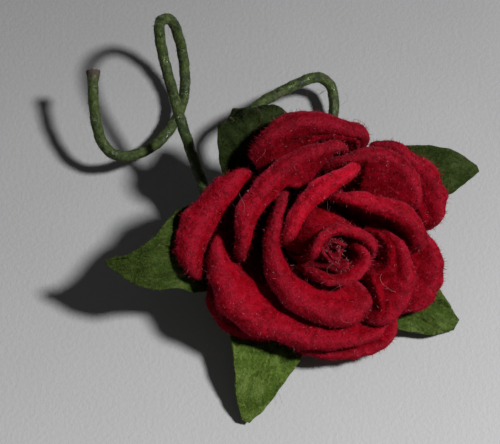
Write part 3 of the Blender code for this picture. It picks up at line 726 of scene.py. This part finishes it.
def calculate(tree, operation, *values):
    return addNode(tree, "ShaderNodeMath", dict(enumerate(values)), operation=operation).outputs[0]


def plus(tree, first, second):
    return calculate(tree, "ADD", first, second)


def minus(tree, first, second):
    return calculate(tree, "SUBTRACT", first, second)


def times(tree, first, second):
    return calculate(tree, "MULTIPLY", first, second)


def between(tree, value, low, high, start=0.0, end=1.0):
    return addNode(tree, "ShaderNodeMapRange", {"Value": value, "From Min": low, "From Max": high,
                                                "To Min": start, "To Max": end}).outputs[0]


def scaled(tree, vector, amount):
    return addNode(tree, "ShaderNodeVectorMath", {0: vector, "Scale": amount}, operation="SCALE").outputs[0]


def storeValue(tree, geometry, name, value, domain="POINT"):
    kept = addNode(tree, "GeometryNodeStoreNamedAttribute",
                   {"Geometry": geometry, "Name": name, "Value": value}, data_type="FLOAT", domain=domain)
    return kept.outputs[0]


def storedValue(tree, name):
    return addNode(tree, "GeometryNodeInputNamedAttribute", {"Name": name}, data_type="FLOAT").outputs[0]


def endTree(tree, given, result, geometry):
    real = addNode(tree, "GeometryNodeRealizeInstances", {"Geometry": geometry})
    done = addNode(tree, "GeometryNodeSetMaterial",
                   {"Geometry": real.outputs[0], "Material": given.outputs["Material"]})
    tree.links.new(done.outputs[0], result.inputs[0])
    return tree


def applyTree(host, tree, values, name):
    modifier = host.modifiers.new(tree.name, "NODES")
    modifier.node_group = tree
    for item in tree.interface.items_tree:
        if item.in_out == "INPUT" and item.name in values:
            modifier[item.identifier] = values[item.name]
    graph = bpy.context.evaluated_depsgraph_get()
    mesh = bpy.data.meshes.new_from_object(host.evaluated_get(graph), depsgraph=graph)
    host.modifiers.remove(modifier)
    mesh.name = name
    mesh.shade_smooth()
    thing = bpy.data.objects.new(name, mesh)
    bpy.context.scene.collection.objects.link(thing)
    bpy.data.objects.remove(host, do_unlink=True)
    return thing


def stemRoute():
    shift = np.array(head["shift"])
    axis = np.array([[0.0, 0.0, stem["reach"]], [0.0, 0.0, -stem["belowHub"]]])
    knots = np.concatenate((inModel(axis), np.array(stemPoints) + shift))
    ends = np.concatenate(([2 * knots[0] - knots[1]], knots, [2 * knots[-1] - knots[-2]]))
    fine = []
    for before, a, b, after in zip(ends, ends[1:], ends[2:], ends[3:]):
        for t in np.arange(stem["stepsPerPoint"]) / stem["stepsPerPoint"]:
            bend, twist = 2 * before - 5 * a + 4 * b - after, 3 * a - before - 3 * b + after
            fine.append(a + 0.5 * t * ((b - before) + t * bend + t * t * twist))
    return np.array(fine + [knots[-1]])


def wrapTree():
    # a paper strip wound round the route: each turn's edge lies on the turn before
    sizes = [(label, "Float") for label in ("Radius", "Spacing", "Pitch", "Seam", "Lump", "Flare")]
    sizes += [("Sides", "Int"), ("Seed", "Int"), ("Material", "Material")]
    tree, given, result = newTree("woundStrip", sizes)
    route = addNode(tree, "GeometryNodeMeshToCurve", {"Mesh": given.outputs["Geometry"]})
    even = addNode(tree, "GeometryNodeResampleCurve",
                   {"Curve": route.outputs[0], "Length": given.outputs["Spacing"]}, mode="LENGTH")
    along = addNode(tree, "GeometryNodeSplineParameter").outputs["Length"]
    fromEnd = minus(tree, addNode(tree, "GeometryNodeSplineLength").outputs["Length"], along)
    opening = between(tree, fromEnd, stem["flareFrom"] * mm, stem["flareFull"] * mm, 1.0,
                      given.outputs["Flare"])
    wide = addNode(tree, "GeometryNodeSetCurveRadius", {"Curve": even.outputs[0], "Radius": opening})
    kept = storeValue(tree, wide.outputs[0], "alongStem", along)
    kept = storeValue(tree, kept, "fromEnd", fromEnd)
    circle = addNode(tree, "GeometryNodeCurvePrimitiveCircle",
                     {"Resolution": given.outputs["Sides"], "Radius": given.outputs["Radius"]})
    around = addNode(tree, "GeometryNodeSplineParameter").outputs["Factor"]
    profile = storeValue(tree, circle.outputs[0], "aroundStem", around)
    tube = addNode(tree, "GeometryNodeCurveToMesh",
                   {"Curve": kept, "Profile Curve": profile, "Fill Caps": True,
                    "Scale": addNode(tree, "GeometryNodeInputRadius").outputs[0]})
    turns = calculate(tree, "DIVIDE", storedValue(tree, "alongStem"), given.outputs["Pitch"])
    phase = calculate(tree, "FRACT", plus(tree, turns, storedValue(tree, "aroundStem")))
    rising = between(tree, phase, 0.0, stem["seamShare"], stem["seamLeast"], 1.0)
    falling = between(tree, phase, stem["seamShare"], 1.0, 1.0, stem["seamLeast"])
    seam = times(tree, calculate(tree, "MINIMUM", rising, falling), given.outputs["Seam"])
    grain = addNode(tree, "ShaderNodeTexNoise", {"Scale": stem["lumpScale"], "Detail": 2.0,
                                                 "W": given.outputs["Seed"]}, noise_dimensions="4D")
    lump = times(tree, minus(tree, grain.outputs[0], 0.5), given.outputs["Lump"])
    normal = addNode(tree, "GeometryNodeInputNormal").outputs[0]
    offset = scaled(tree, normal, plus(tree, seam, lump))
    moved = addNode(tree, "GeometryNodeSetPosition", {"Geometry": tube.outputs[0], "Offset": offset})
    return endTree(tree, given, result, moved.outputs[0])


def makeStem(material):
    points = stemRoute() * mm
    mesh = bpy.data.meshes.new("stemRoute")
    mesh.from_pydata(points.tolist(), [(k, k + 1) for k in range(len(points) - 1)], [])
    host = bpy.data.objects.new("stemRoute", mesh)
    bpy.context.scene.collection.objects.link(host)
    sizes = {"Radius": 0.5 * stem["diameter"] * mm - 0.5 * stem["seam"] * mm, "Flare": stem["flare"],
             "Sides": stem["sides"], "Seed": stem["seed"], "Material": material}
    for label in ("spacing", "pitch", "seam", "lump"):
        sizes[label.capitalize()] = stem[label] * mm
    return applyTree(host, wrapTree(), sizes, "stem_wound_strip")


# what grows on the paper: hairs for each square metre, their length and thickness in millimetres,
# and how far they lean in degrees
nap = {
    "short": (2.9e7, 0.20, 0.014, 70.0),
    "long": (9.0e6, 0.50, 0.021, 48.0),
    # pale flecks lying flat on the petals: painted glints where fibres catch the light
    "glintFleck": (4.5e5, 0.22, 0.028, 86.0),
    "tuft": (0.9e7, 0.50, 0.018, 62.0),
    "leaf": (2.6e7, 0.26, 0.014, 72.0),
    "loose": (4.6e4, 1.80, 0.019, 62.0),
    "bareShare": 0.35,  # green paper has fewer fibres than red
    "wave": 0.0010,  # how far a loose fibre strays from its bow, in metres
    "waveScale": 650.0,
    "hairGrowth": (0.45, 1.25),  # shortest and longest, as shares of the length above
    "looseGrowth": (0.35, 1.5),
    "leanLeast": 0.2,  # share of the lean that every fibre has
    "fullTurn": 6.283,
    "hairTint": 77,  # seeds of the fibres' tints
    "looseTint": 91,
    "looseBow": ((0.0, 0.0, 0.0), (0.1, 0.0, 0.8), (0.85, 0.0, 0.45)),
}

napSizes = [(label, "Float") for label in ("Density", "Length", "Thickness", "Lean", "Wave")]
napSizes += [("Seed", "Int"), ("Material", "Material")]


def scatter(tree, given, fibre, growth, tintSeed):
    # stands copies of a fibre on the paper where its fuzz allows, each turned, leant and sized at random
    seed = given.outputs["Seed"]
    amount = times(tree, storedValue(tree, "fuzz"), given.outputs["Density"])
    spots = addNode(tree, "GeometryNodeDistributePointsOnFaces",
                    {"Mesh": given.outputs["Geometry"], "Density": amount, "Seed": seed},
                    distribute_method="RANDOM")
    lean = addNode(tree, "FunctionNodeRandomValue",
                   {"Min": (nap["leanLeast"], 0.0, 0.0), "Max": (1.0, 0.0, nap["fullTurn"]), "Seed": seed},
                   data_type="FLOAT_VECTOR")
    parts = addNode(tree, "ShaderNodeSeparateXYZ", {0: lean.outputs[0]})
    spin = addNode(tree, "ShaderNodeCombineXYZ", {2: parts.outputs[2]})
    tip = addNode(tree, "ShaderNodeCombineXYZ", {0: times(tree, parts.outputs[0], given.outputs["Lean"])})
    rotation = spots.outputs["Rotation"]
    for angles in (spin, tip):
        turn = addNode(tree, "FunctionNodeEulerToRotation", {0: angles.outputs[0]})
        turned = addNode(tree, "FunctionNodeRotateRotation",
                         {"Rotation": rotation, "Rotate By": turn.outputs[0]}, rotation_space="LOCAL")
        rotation = turned.outputs[0]
    shortest, longest = growth
    grow = addNode(tree, "FunctionNodeRandomValue", {2: shortest, 3: longest, "Seed": seed},
                   data_type="FLOAT")
    hairs = addNode(tree, "GeometryNodeInstanceOnPoints",
                    {"Points": spots.outputs["Points"], "Instance": fibre, "Rotation": rotation,
                     "Scale": times(tree, grow.outputs[1], given.outputs["Length"])})
    shade = addNode(tree, "FunctionNodeRandomValue", {2: 0.0, 3: 1.0, "Seed": tintSeed}, data_type="FLOAT")
    return storeValue(tree, hairs.outputs[0], "tint", shade.outputs[1], "INSTANCE")


def napTree():
    # short stiff hairs: three-sided cones as long as they are scaled
    tree, given, result = newTree("paperNap", napSizes)
    thin = calculate(tree, "DIVIDE", given.outputs["Thickness"], given.outputs["Length"])
    cone = addNode(tree, "GeometryNodeMeshCone",
                   {"Vertices": 3, "Radius Top": 0.0, "Depth": 1.0, "Radius Bottom": thin})
    hairs = scatter(tree, given, cone.outputs["Mesh"], nap["hairGrowth"], nap["hairTint"])
    return endTree(tree, given, result, hairs)


def looseTree():
    # long bowed fibres that stand off the paper
    tree, given, result = newTree("looseFibres", napSizes)
    foot, middle, tip = nap["looseBow"]
    bow = addNode(tree, "GeometryNodeCurveQuadraticBezier",
                  {"Resolution": 10, "Start": foot, "Middle": middle, "End": tip})
    along = addNode(tree, "GeometryNodeSplineParameter").outputs["Factor"]
    kept = storeValue(tree, bow.outputs[0], "alongFibre", along)
    thin = calculate(tree, "DIVIDE", given.outputs["Thickness"], given.outputs["Length"])
    ring = addNode(tree, "GeometryNodeCurvePrimitiveCircle",
                   {"Resolution": 3, "Radius": times(tree, thin, 0.5)})
    tube = addNode(tree, "GeometryNodeCurveToMesh", {"Curve": kept, "Profile Curve": ring.outputs[0],
                                                     "Fill Caps": True})
    fibres = scatter(tree, given, tube.outputs[0], nap["looseGrowth"], nap["looseTint"])
    real = addNode(tree, "GeometryNodeRealizeInstances", {"Geometry": fibres})
    drift = addNode(tree, "ShaderNodeTexNoise", {"Scale": nap["waveScale"], "Detail": 1.0}).outputs["Color"]
    centred = addNode(tree, "ShaderNodeVectorMath", {0: drift, 1: (0.5, 0.5, 0.5)}, operation="SUBTRACT")
    sway = times(tree, storedValue(tree, "alongFibre"), given.outputs["Wave"])
    offset = scaled(tree, centred.outputs[0], sway)
    moved = addNode(tree, "GeometryNodeSetPosition", {"Geometry": real.outputs[0], "Offset": offset})
    return endTree(tree, given, result, moved.outputs[0])


def joinedCopy(things, name):
    # one mesh of several pieces, as the ground that hairs are scattered on
    points, faces, fuzz = [], [], []
    start = 0
    for thing in things:
        mesh = thing.data
        spots = np.zeros(len(mesh.vertices) * 3, np.float32)
        mesh.vertices.foreach_get("co", spots)
        weights = np.full(len(mesh.vertices), nap["bareShare"], np.float32)
        if "fuzz" in mesh.attributes:
            mesh.attributes["fuzz"].data.foreach_get("value", weights)
        points.append(spots.reshape(-1, 3))
        fuzz.append(weights)
        faces += [[start + v for v in face.vertices] for face in mesh.polygons]
        start += len(mesh.vertices)
    return addMesh(name, np.concatenate(points) / mm, faces, None, {"fuzz": np.concatenate(fuzz)})


def makeNap(things, name, kind, seed, material, tree):
    host = joinedCopy(things, name + "Host")
    density, length, thickness, lean = nap[kind]
    sizes = {"Density": density, "Length": length * mm, "Thickness": thickness * mm, "Wave": nap["wave"],
             "Lean": math.radians(lean), "Seed": seed, "Material": material}
    return applyTree(host, tree, sizes, name)


def newMaterial(name):
    material = bpy.data.materials.new(name)
    material.use_nodes = True
    return material, material.node_tree, material.node_tree.nodes["Principled BSDF"]


def mark(tree, name):
    # a value that the piece's own mesh carries at each point
    return addNode(tree, "ShaderNodeAttribute", attribute_name=name).outputs["Fac"]


def objectPlace(tree):
    return addNode(tree, "ShaderNodeTexCoord").outputs["Object"]


def mixColours(tree, share, first, second):
    first, second = (c if isinstance(c, bpy.types.NodeSocket) else (*c, 1.0) for c in (first, second))
    # sockets 6 and 7 are the two colours
    return addNode(tree, "ShaderNodeMix", {"Factor": share, 6: first, 7: second}, data_type="RGBA").outputs[2]


def grainNoise(tree, place, scale, detail=3.0, roughness=0.6, distortion=0.0):
    return addNode(tree, "ShaderNodeTexNoise", {"Vector": place, "Scale": scale, "Detail": detail,
                                                "Roughness": roughness, "Distortion": distortion}).outputs[0]


def fibreLines(tree, place, scale, width):
    # thin curly lines where a noise crosses its middle: the long fibres in handmade paper
    band = calculate(tree, "ABSOLUTE", minus(tree, grainNoise(tree, place, scale, 1.0, 0.4, 0.6), 0.5))
    return between(tree, band, 0.0, width, 1.0, 0.0)


def addBump(tree, shader, height, strength, distance):
    bump = addNode(tree, "ShaderNodeBump", {"Strength": strength, "Distance": distance, "Height": height})
    tree.links.new(bump.outputs[0], shader.inputs["Normal"])


# in the looks below a noise is its scale, detail, roughness and distortion,
# and a range is the values it runs from and to, then what it gives at each of them (0 and 1 if left out)
petalLook = {
    "deep": (0.122, 0.0001, 0.0012),
    "middle": (0.198, 0.0004, 0.0042),
    "bright": (0.345, 0.0042, 0.0170),
    "edge": (0.500, 0.0420, 0.0860),
    "soft": (420.0,),
    "mottle": (1500.0, 3.0, 0.55),
    "fine": (6400.0, 3.0, 0.7),
    "fibres": (1700.0, 0.022),  # scale and width
    "middleAt": (0.34, 0.52),
    "brightAt": (0.44, 0.64),
    "speckle": (0.30, 0.62, 0.45, 1.0),
    "edgeBandPower": 1.6,
    "edgeBandSpeckle": (0.35, 0.65, 0.1, 0.75),
    "fibreShare": 0.28,
    "roughness": 0.90,
    "specular": 0.02,
    "sheen": 0.03,
    "sheenRoughness": 0.4,
    "sheenTint": (1.0, 0.35, 0.42, 1.0),
    "fineRelief": 0.35,
    "fibreRelief": 0.10,
    "bump": 0.00026,
}


def petalPaperMaterial():
    material, tree, shader = newMaterial("redPetalPaper")
    place = objectPlace(tree)
    soft, mottle, fine = (grainNoise(tree, place, *petalLook[name]) for name in ("soft", "mottle", "fine"))
    lines = fibreLines(tree, place, *petalLook["fibres"])
    patches = plus(tree, times(tree, soft, 0.5), times(tree, mottle, 0.5))
    turning = between(tree, patches, *petalLook["middleAt"])
    colour = mixColours(tree, turning, petalLook["deep"], petalLook["middle"])
    light = between(tree, patches, *petalLook["brightAt"])
    light = times(tree, light, between(tree, fine, *petalLook["speckle"]))
    # the bright patches show more up on the face and lip than down the wall: painted light on the raised
    # paper, painted shade between the petals
    paintedLightOnRaised = plus(tree, times(tree, mark(tree, "lift"), 0.5), 0.5)
    colour = mixColours(tree, times(tree, light, paintedLightOnRaised), colour, petalLook["bright"])
    # painted light and shade: the colour is scaled lighter or darker for each petal and for the core
    shade = scaled(tree, colour, mark(tree, "tone"))
    # the pale band at the paper's edge, with the painted highlight along the lip's crest
    worn = calculate(tree, "POWER", mark(tree, "nearEdge"), petalLook["edgeBandPower"])
    rim = times(tree, worn, between(tree, fine, *petalLook["edgeBandSpeckle"]))
    shade = mixColours(tree, rim, shade, petalLook["edge"])
    shade = mixColours(tree, times(tree, lines, petalLook["fibreShare"]), shade, petalLook["edge"])
    fillInputs(tree, shader, {"Base Color": shade, "Roughness": petalLook["roughness"],
                              "Specular IOR Level": petalLook["specular"], "Sheen Weight": petalLook["sheen"],
                              "Sheen Roughness": petalLook["sheenRoughness"],
                              "Sheen Tint": petalLook["sheenTint"]})
    height = plus(tree, mottle, times(tree, fine, petalLook["fineRelief"]))
    height = plus(tree, height, times(tree, lines, petalLook["fibreRelief"]))
    addBump(tree, shader, height, 1.0, petalLook["bump"])
    return material


# each hair has its own tint from 0 to 1: from where to where it runs, the dark and the pale colour there,
# the colour of the few palest hairs if they stand out, which are painted glints, then roughness and specular
# level
hairLooks = {
    "redPaperNap": (0.0, 0.8, (0.12, 0.0003, 0.0025), (0.37, 0.009, 0.028), (0.58, 0.13, 0.17), 0.85, 0.05),
    # pale fibres: on the bud's tuft they are the paper's own whitish fibres, on the petals' flecks they are
    # painted glints
    "paleFibreAndGlint": (0.0, 1.0, (0.34, 0.02, 0.04), (0.66, 0.36, 0.36), None, 0.45, 0.5),
    "looseFibre": (0.55, 1.0, (0.065, 0.010, 0.010), (0.40, 0.20, 0.18), None, 0.5, 0.5),
    "greenPaperNap": (0.2, 1.0, (0.020, 0.043, 0.003), (0.128, 0.176, 0.030), None, 0.8, 0.10),
}
glintHairs = (0.90, 0.97)  # the tints from which a hair is one of the palest, painted as a glint of a fibre catching the light


def hairMaterial(name):
    material, tree, shader = newMaterial(name)
    start, end, dark, pale, glint, roughness, specular = hairLooks[name]
    tint = mark(tree, "tint")
    colour = mixColours(tree, between(tree, tint, start, end), dark, pale)
    # a few hairs painted pale: painted glints
    if glint:
        colour = mixColours(tree, between(tree, tint, *glintHairs), colour, glint)
    fillInputs(tree, shader, {"Base Color": colour, "Roughness": roughness, "Specular IOR Level": specular})
    return material


calyxLook = {
    "deep": (0.028, 0.052, 0.006),
    "middle": (0.060, 0.108, 0.009),
    "pale": (0.165, 0.228, 0.050),
    "leafStretch": (0.30, 1.3),  # draws the streaks out along the leaf
    "streaks": (1.5, 4.0, 0.6, 0.6),
    "patches": (480.0, 4.0, 0.65),
    "fine": (3400.0, 4.0, 0.7),
    "fibres": (1500.0, 0.03),
    "wrinkles": (520.0, 0.05),
    "patchShare": 0.65,
    "middleAt": (0.36, 0.54),
    "fadedPatches": (0.46, 0.68, 0.0, 0.75),
    "fadedStreaks": (0.36, 0.62),
    "fibreShare": 0.55,
    "paleSpeckle": (0.52, 0.68, 0.0, 0.55),
    "deepSpeckle": (0.44, 0.34, 0.0, 0.40),
    "edgeBandPower": 2.5,
    "edgeBandSpeckle": (0.45, 0.6, 0.0, 0.7),
    "gloss": (0.50, 0.62, 0.85, 0.34),
    "specular": 0.13,
    "relief": (0.45, 0.75, 0.9, 0.12, 0.12),  # streaks, fine grain, patches, wrinkles, fibres
    "bump": 0.00022,
}


def calyxMaterial():
    material, tree, shader = newMaterial("greenCalyxPaper")
    place = objectPlace(tree)
    lengthwise, sideways = calyxLook["leafStretch"]
    leaf = addNode(tree, "ShaderNodeCombineXYZ", {0: times(tree, mark(tree, "alongLeaf"), lengthwise),
                                                  1: times(tree, mark(tree, "acrossLeaf"), sideways)})
    streaks = grainNoise(tree, leaf.outputs[0], *calyxLook["streaks"])
    patches, fine = (grainNoise(tree, place, *calyxLook[name]) for name in ("patches", "fine"))
    lines, wrinkles = (fibreLines(tree, place, *calyxLook[name]) for name in ("fibres", "wrinkles"))
    share = calyxLook["patchShare"]
    ground = plus(tree, times(tree, streaks, 1.0 - share), times(tree, patches, share))
    turning = between(tree, ground, *calyxLook["middleAt"])
    colour = mixColours(tree, turning, calyxLook["deep"], calyxLook["middle"])
    faded = times(tree, between(tree, patches, *calyxLook["fadedPatches"]),
                  between(tree, streaks, *calyxLook["fadedStreaks"]))
    worn = times(tree, calculate(tree, "POWER", mark(tree, "nearEdge"), calyxLook["edgeBandPower"]),
                 between(tree, fine, *calyxLook["edgeBandSpeckle"]))
    for amount, paint in ((faded, "pale"), (times(tree, lines, calyxLook["fibreShare"]), "pale"),
                          (between(tree, fine, *calyxLook["paleSpeckle"]), "pale"),
                          (between(tree, fine, *calyxLook["deepSpeckle"]), "deep"), (worn, "pale")):
        colour = mixColours(tree, amount, colour, calyxLook[paint])
    # each leaf's colour is scaled by its painted light and shade
    fillInputs(tree, shader, {"Base Color": scaled(tree, colour, mark(tree, "leafTone")),
                              "Roughness": between(tree, patches, *calyxLook["gloss"]),
                              "Specular IOR Level": calyxLook["specular"]})
    forms = (streaks, fine, patches, wrinkles, lines)
    heights = [times(tree, form, relief) for form, relief in zip(forms, calyxLook["relief"])]
    height = heights[0]
    for more in heights[1:]:
        height = plus(tree, height, more)
    addBump(tree, shader, height, 1.0, calyxLook["bump"])
    return material


wrapLook = {
    "deep": (0.009, 0.019, 0.002),
    "middle": (0.036, 0.058, 0.007),
    "pale": (0.082, 0.106, 0.028),
    "dark": (0.006, 0.012, 0.002),
    "worn": (0.060, 0.042, 0.034),  # brown, where the green has rubbed off and at the cut end
    "patches": (700.0,),
    "fine": (2400.0, 4.0, 0.7),
    "wornPatches": (260.0, 2.0),
    "glue": (900.0, 2.0),
    "middleAt": (0.35, 0.62),
    "paleSpeckle": (0.50, 0.66, 0.0, 0.75),
    "darkSpeckle": (0.45, 0.34, 0.0, 0.70),
    "brownEnd": (0.2, 1.4),  # in millimetres from the cut end
    "brownMost": 0.9,
    "wornAt": (0.62, 0.72, 0.0, 0.6),
    "gloss": (0.48, 0.60, 0.80, 0.16),
    "specular": 0.38,
    "fineRelief": 0.5,
    "bump": 0.00030,
}


def wrapMaterial():
    material, tree, shader = newMaterial("greenWoundPaper")
    place = objectPlace(tree)
    patches, fine, wearAndCrestHighlight, glue = (grainNoise(tree, place, *wrapLook[name])
                                   for name in ("patches", "fine", "wornPatches", "glue"))
    turning = between(tree, patches, *wrapLook["middleAt"])
    colour = mixColours(tree, turning, wrapLook["deep"], wrapLook["middle"])
    colour = mixColours(tree, between(tree, fine, *wrapLook["paleSpeckle"]), colour, wrapLook["pale"])
    colour = mixColours(tree, between(tree, fine, *wrapLook["darkSpeckle"]), colour, wrapLook["dark"])
    near, far = wrapLook["brownEnd"]
    atEnd = between(tree, mark(tree, "fromEnd"), near * mm, far * mm, wrapLook["brownMost"], 0.0)
    worn = calculate(tree, "MAXIMUM", atEnd, between(tree, wearAndCrestHighlight, *wrapLook["wornAt"]))
    fillInputs(tree, shader, {"Base Color": mixColours(tree, worn, colour, wrapLook["worn"]),
                              "Roughness": between(tree, glue, *wrapLook["gloss"]),
                              "Specular IOR Level": wrapLook["specular"]})
    height = plus(tree, patches, times(tree, fine, wrapLook["fineRelief"]))
    addBump(tree, shader, height, 1.0, wrapLook["bump"])
    return material


steelLook = {
    "clean": (0.30, 0.27, 0.25),
    "stained": (0.13, 0.075, 0.045),
    "stain": (2600.0,),
    "stainedAt": (0.4, 0.62),
    "roughness": (0.3, 0.7, 0.35, 0.7),
    "metallic": 0.8,
    "bump": 0.00004,
}


def steelMaterial():
    material, tree, shader = newMaterial("cutSteelWire")
    stain = grainNoise(tree, objectPlace(tree), *steelLook["stain"])
    turning = between(tree, stain, *steelLook["stainedAt"])
    colour = mixColours(tree, turning, steelLook["clean"], steelLook["stained"])
    fillInputs(tree, shader, {"Base Color": colour, "Metallic": steelLook["metallic"],
                              "Roughness": between(tree, stain, *steelLook["roughness"])})
    addBump(tree, shader, stain, 0.5, steelLook["bump"])
    return material


# places on the floor are in metres; the floor is painted darker towards the back and the left and paler
# towards the front: a painted fall-off of the key lamp's light
floorLook = {
    "far": (0.265, 0.265, 0.270),
    "near": (0.500, 0.500, 0.505),
    "shadeFrom": 0.038,
    "shadeTo": -0.030,
    "shadeAcross": 0.3,
    "grain": (2300.0, 4.0, 0.65),
    "soft": (60.0, 2.0),
    "grainShade": (0.3, 0.7, -0.04, 0.04),
    "softShade": (0.2, 0.8, -0.05, 0.05),
    "relief": 0.55,
    "roughness": 0.85,
    "bump": 0.00013,
    "half": 1.5,
}


def floorMaterial():
    material, tree, shader = newMaterial("paleFloor")
    place = objectPlace(tree)
    grain, soft = (grainNoise(tree, place, *floorLook[name]) for name in ("grain", "soft"))
    across = addNode(tree, "ShaderNodeSeparateXYZ", {0: place}).outputs
    # painted light: the floor's colour runs from dark far away to pale near
    away = minus(tree, across[1], times(tree, across[0], floorLook["shadeAcross"]))
    shade = between(tree, away, floorLook["shadeFrom"], floorLook["shadeTo"])
    shade = plus(tree, shade, between(tree, soft, *floorLook["softShade"]))
    shade = plus(tree, shade, between(tree, grain, *floorLook["grainShade"]))
    colour = mixColours(tree, shade, floorLook["far"], floorLook["near"])
    fillInputs(tree, shader, {"Base Color": colour, "Roughness": floorLook["roughness"]})
    addBump(tree, shader, grain, floorLook["relief"], floorLook["bump"])
    return material


# the key lamp's distance and size are in metres
light = {
    "keyFrom": (0.69, -0.10, 1.0),
    "keyDistance": 0.55,
    "keySize": 0.07,
    "keyPower": 3.6,
    "fill": 0.055,
    "seenColour": (0.62, 0.62, 0.63, 1.0),  # the room behind the floor, for the camera alone
}

# the camera looks at target from this far away, in millimetres
view = {
    "target": (-3.3, -0.36, 5.0),
    "elevation": 65.0,
    "distance": 200.0,
    "lens": 144.0,
    "sensor": 36.0,
    "clipStart": 10.0,
}


def makeStage():
    mesh = bpy.data.meshes.new("paleFloor")
    half = floorLook["half"]
    mesh.from_pydata([(-half, -half, 0), (half, -half, 0), (half, half, 0), (-half, half, 0)], [],
                     [(0, 1, 2, 3)])
    floor = bpy.data.objects.new("paleFloor", mesh)
    mesh.materials.append(floorMaterial())
    bpy.context.scene.collection.objects.link(floor)


def aimed(place, target):
    # a turn that points an object's -Z axis from place to target
    return (Vector(target) - Vector(place)).to_track_quat("-Z", "Y").to_euler()


def makeLight():
    way = np.array(light["keyFrom"]) / np.linalg.norm(light["keyFrom"])
    key = bpy.data.lights.new("key", "AREA")
    key.shape = "DISK"
    key.size = light["keySize"]
    key.energy = light["keyPower"]
    lamp = bpy.data.objects.new("key", key)
    lamp.location = tuple(way * light["keyDistance"])
    lamp.rotation_euler = aimed(lamp.location, (0.0, 0.0, 0.0))
    bpy.context.scene.collection.objects.link(lamp)
    world = bpy.data.worlds.new("room")
    bpy.context.scene.world = world
    world.use_nodes = True
    tree = world.node_tree
    tree.nodes.clear()
    fill = addNode(tree, "ShaderNodeBackground", {"Color": (1.0, 1.0, 1.0, 1.0), "Strength": light["fill"]})
    seen = addNode(tree, "ShaderNodeBackground", {"Color": light["seenColour"], "Strength": 1.0})
    path = addNode(tree, "ShaderNodeLightPath")
    mix = addNode(tree, "ShaderNodeMixShader", {0: path.outputs["Is Camera Ray"], 1: fill.outputs[0],
                                                2: seen.outputs[0]})
    output = tree.nodes.new("ShaderNodeOutputWorld")
    tree.links.new(mix.outputs[0], output.inputs[0])


def makeCamera():
    tilt = math.radians(view["elevation"])
    target = (np.array(view["target"]) + np.array(head["shift"])) * mm
    away = np.array([0.0, -math.cos(tilt), math.sin(tilt)]) * view["distance"] * mm
    lens = bpy.data.cameras.new("photoView")
    lens.lens = view["lens"]
    lens.sensor_width = view["sensor"]
    lens.sensor_fit = "HORIZONTAL"
    lens.clip_start = view["clipStart"] * mm
    camera = bpy.data.objects.new("photoView", lens)
    camera.location = tuple(target + away)
    camera.rotation_euler = (math.radians(90.0) - tilt, 0.0, 0.0)
    bpy.context.scene.collection.objects.link(camera)
    bpy.context.scene.camera = camera


print("petals")
redPaper = petalPaperMaterial()
petalPieces = [makePetal(row, number + 1, redPaper) for number, row in enumerate(petalTable)]
budCore = makeCore(redPaper)
redPieces = petalPieces + [budCore]

print("nap on the petals")
napPaint = hairMaterial("redPaperNap")
paleFibreAndGlintPaint = hairMaterial("paleFibreAndGlint")
napNodes = napTree()
napGroups = (("inner", petalPieces[:5] + [budCore]), ("middle", petalPieces[5:9]), ("outer", petalPieces[9:]))
napPieces = []
for number, (place, things) in enumerate(napGroups):
    napPieces.append(makeNap(things, "nap_" + place, "short", 5 + number, napPaint, napNodes))
napPieces.append(makeNap(redPieces, "nap_long", "long", 11, napPaint, napNodes))
# pale flecks lying flat on the petals: painted glints of fibres catching the light
napPieces.append(makeNap(redPieces, "painted_glint_flecks", "glintFleck", 17, paleFibreAndGlintPaint, napNodes))
napPieces.append(makeNap([budCore], "bud_tuft", "tuft", 23, paleFibreAndGlintPaint, napNodes))

print("calyx")
calyxPiece = makeCalyx(calyxMaterial())

print("stem")
stemPiece = makeStem(wrapMaterial())
wirePaint = steelMaterial()
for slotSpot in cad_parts["stem_wire"].material_slots:
    slotSpot.material = wirePaint

print("nap on the green paper and loose fibres")
greenPieces = [calyxPiece, stemPiece]
loosePaint = hairMaterial("looseFibre")
looseNodes = looseTree()
leafNap = makeNap(greenPieces, "nap_green", "leaf", 37, hairMaterial("greenPaperNap"), napNodes)
looseRed = makeNap(redPieces, "loose_fibres_red", "loose", 29, loosePaint, looseNodes)
looseGreen = makeNap(greenPieces, "loose_fibres_green", "loose", 31, loosePaint, looseNodes)

for petal, row in zip(petalPieces, petalTable):
    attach(petal, "root")
    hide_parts(row[0])
for piece, node, slotName in ((budCore, "bud_core", "petal_paper"), (calyxPiece, "calyx", "calyx_paper"),
                              (stemPiece, "stem_wrap", "wrap_paper")):
    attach(piece, "root")
    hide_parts(node)
for piece in napPieces + [looseRed]:
    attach(piece, "root")
for piece in (leafNap, looseGreen):
    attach(piece, "root")

print("floor, light and camera")
makeStage()
makeLight()
makeCamera()
bpy.context.scene.view_settings.view_transform = "Standard"

for piece in petalPieces + [budCore, calyxPiece, stemPiece, leafNap, looseRed, looseGreen] + napPieces:
    print(piece.name, sum(len(face.vertices) - 2 for face in piece.data.polygons), "triangles")
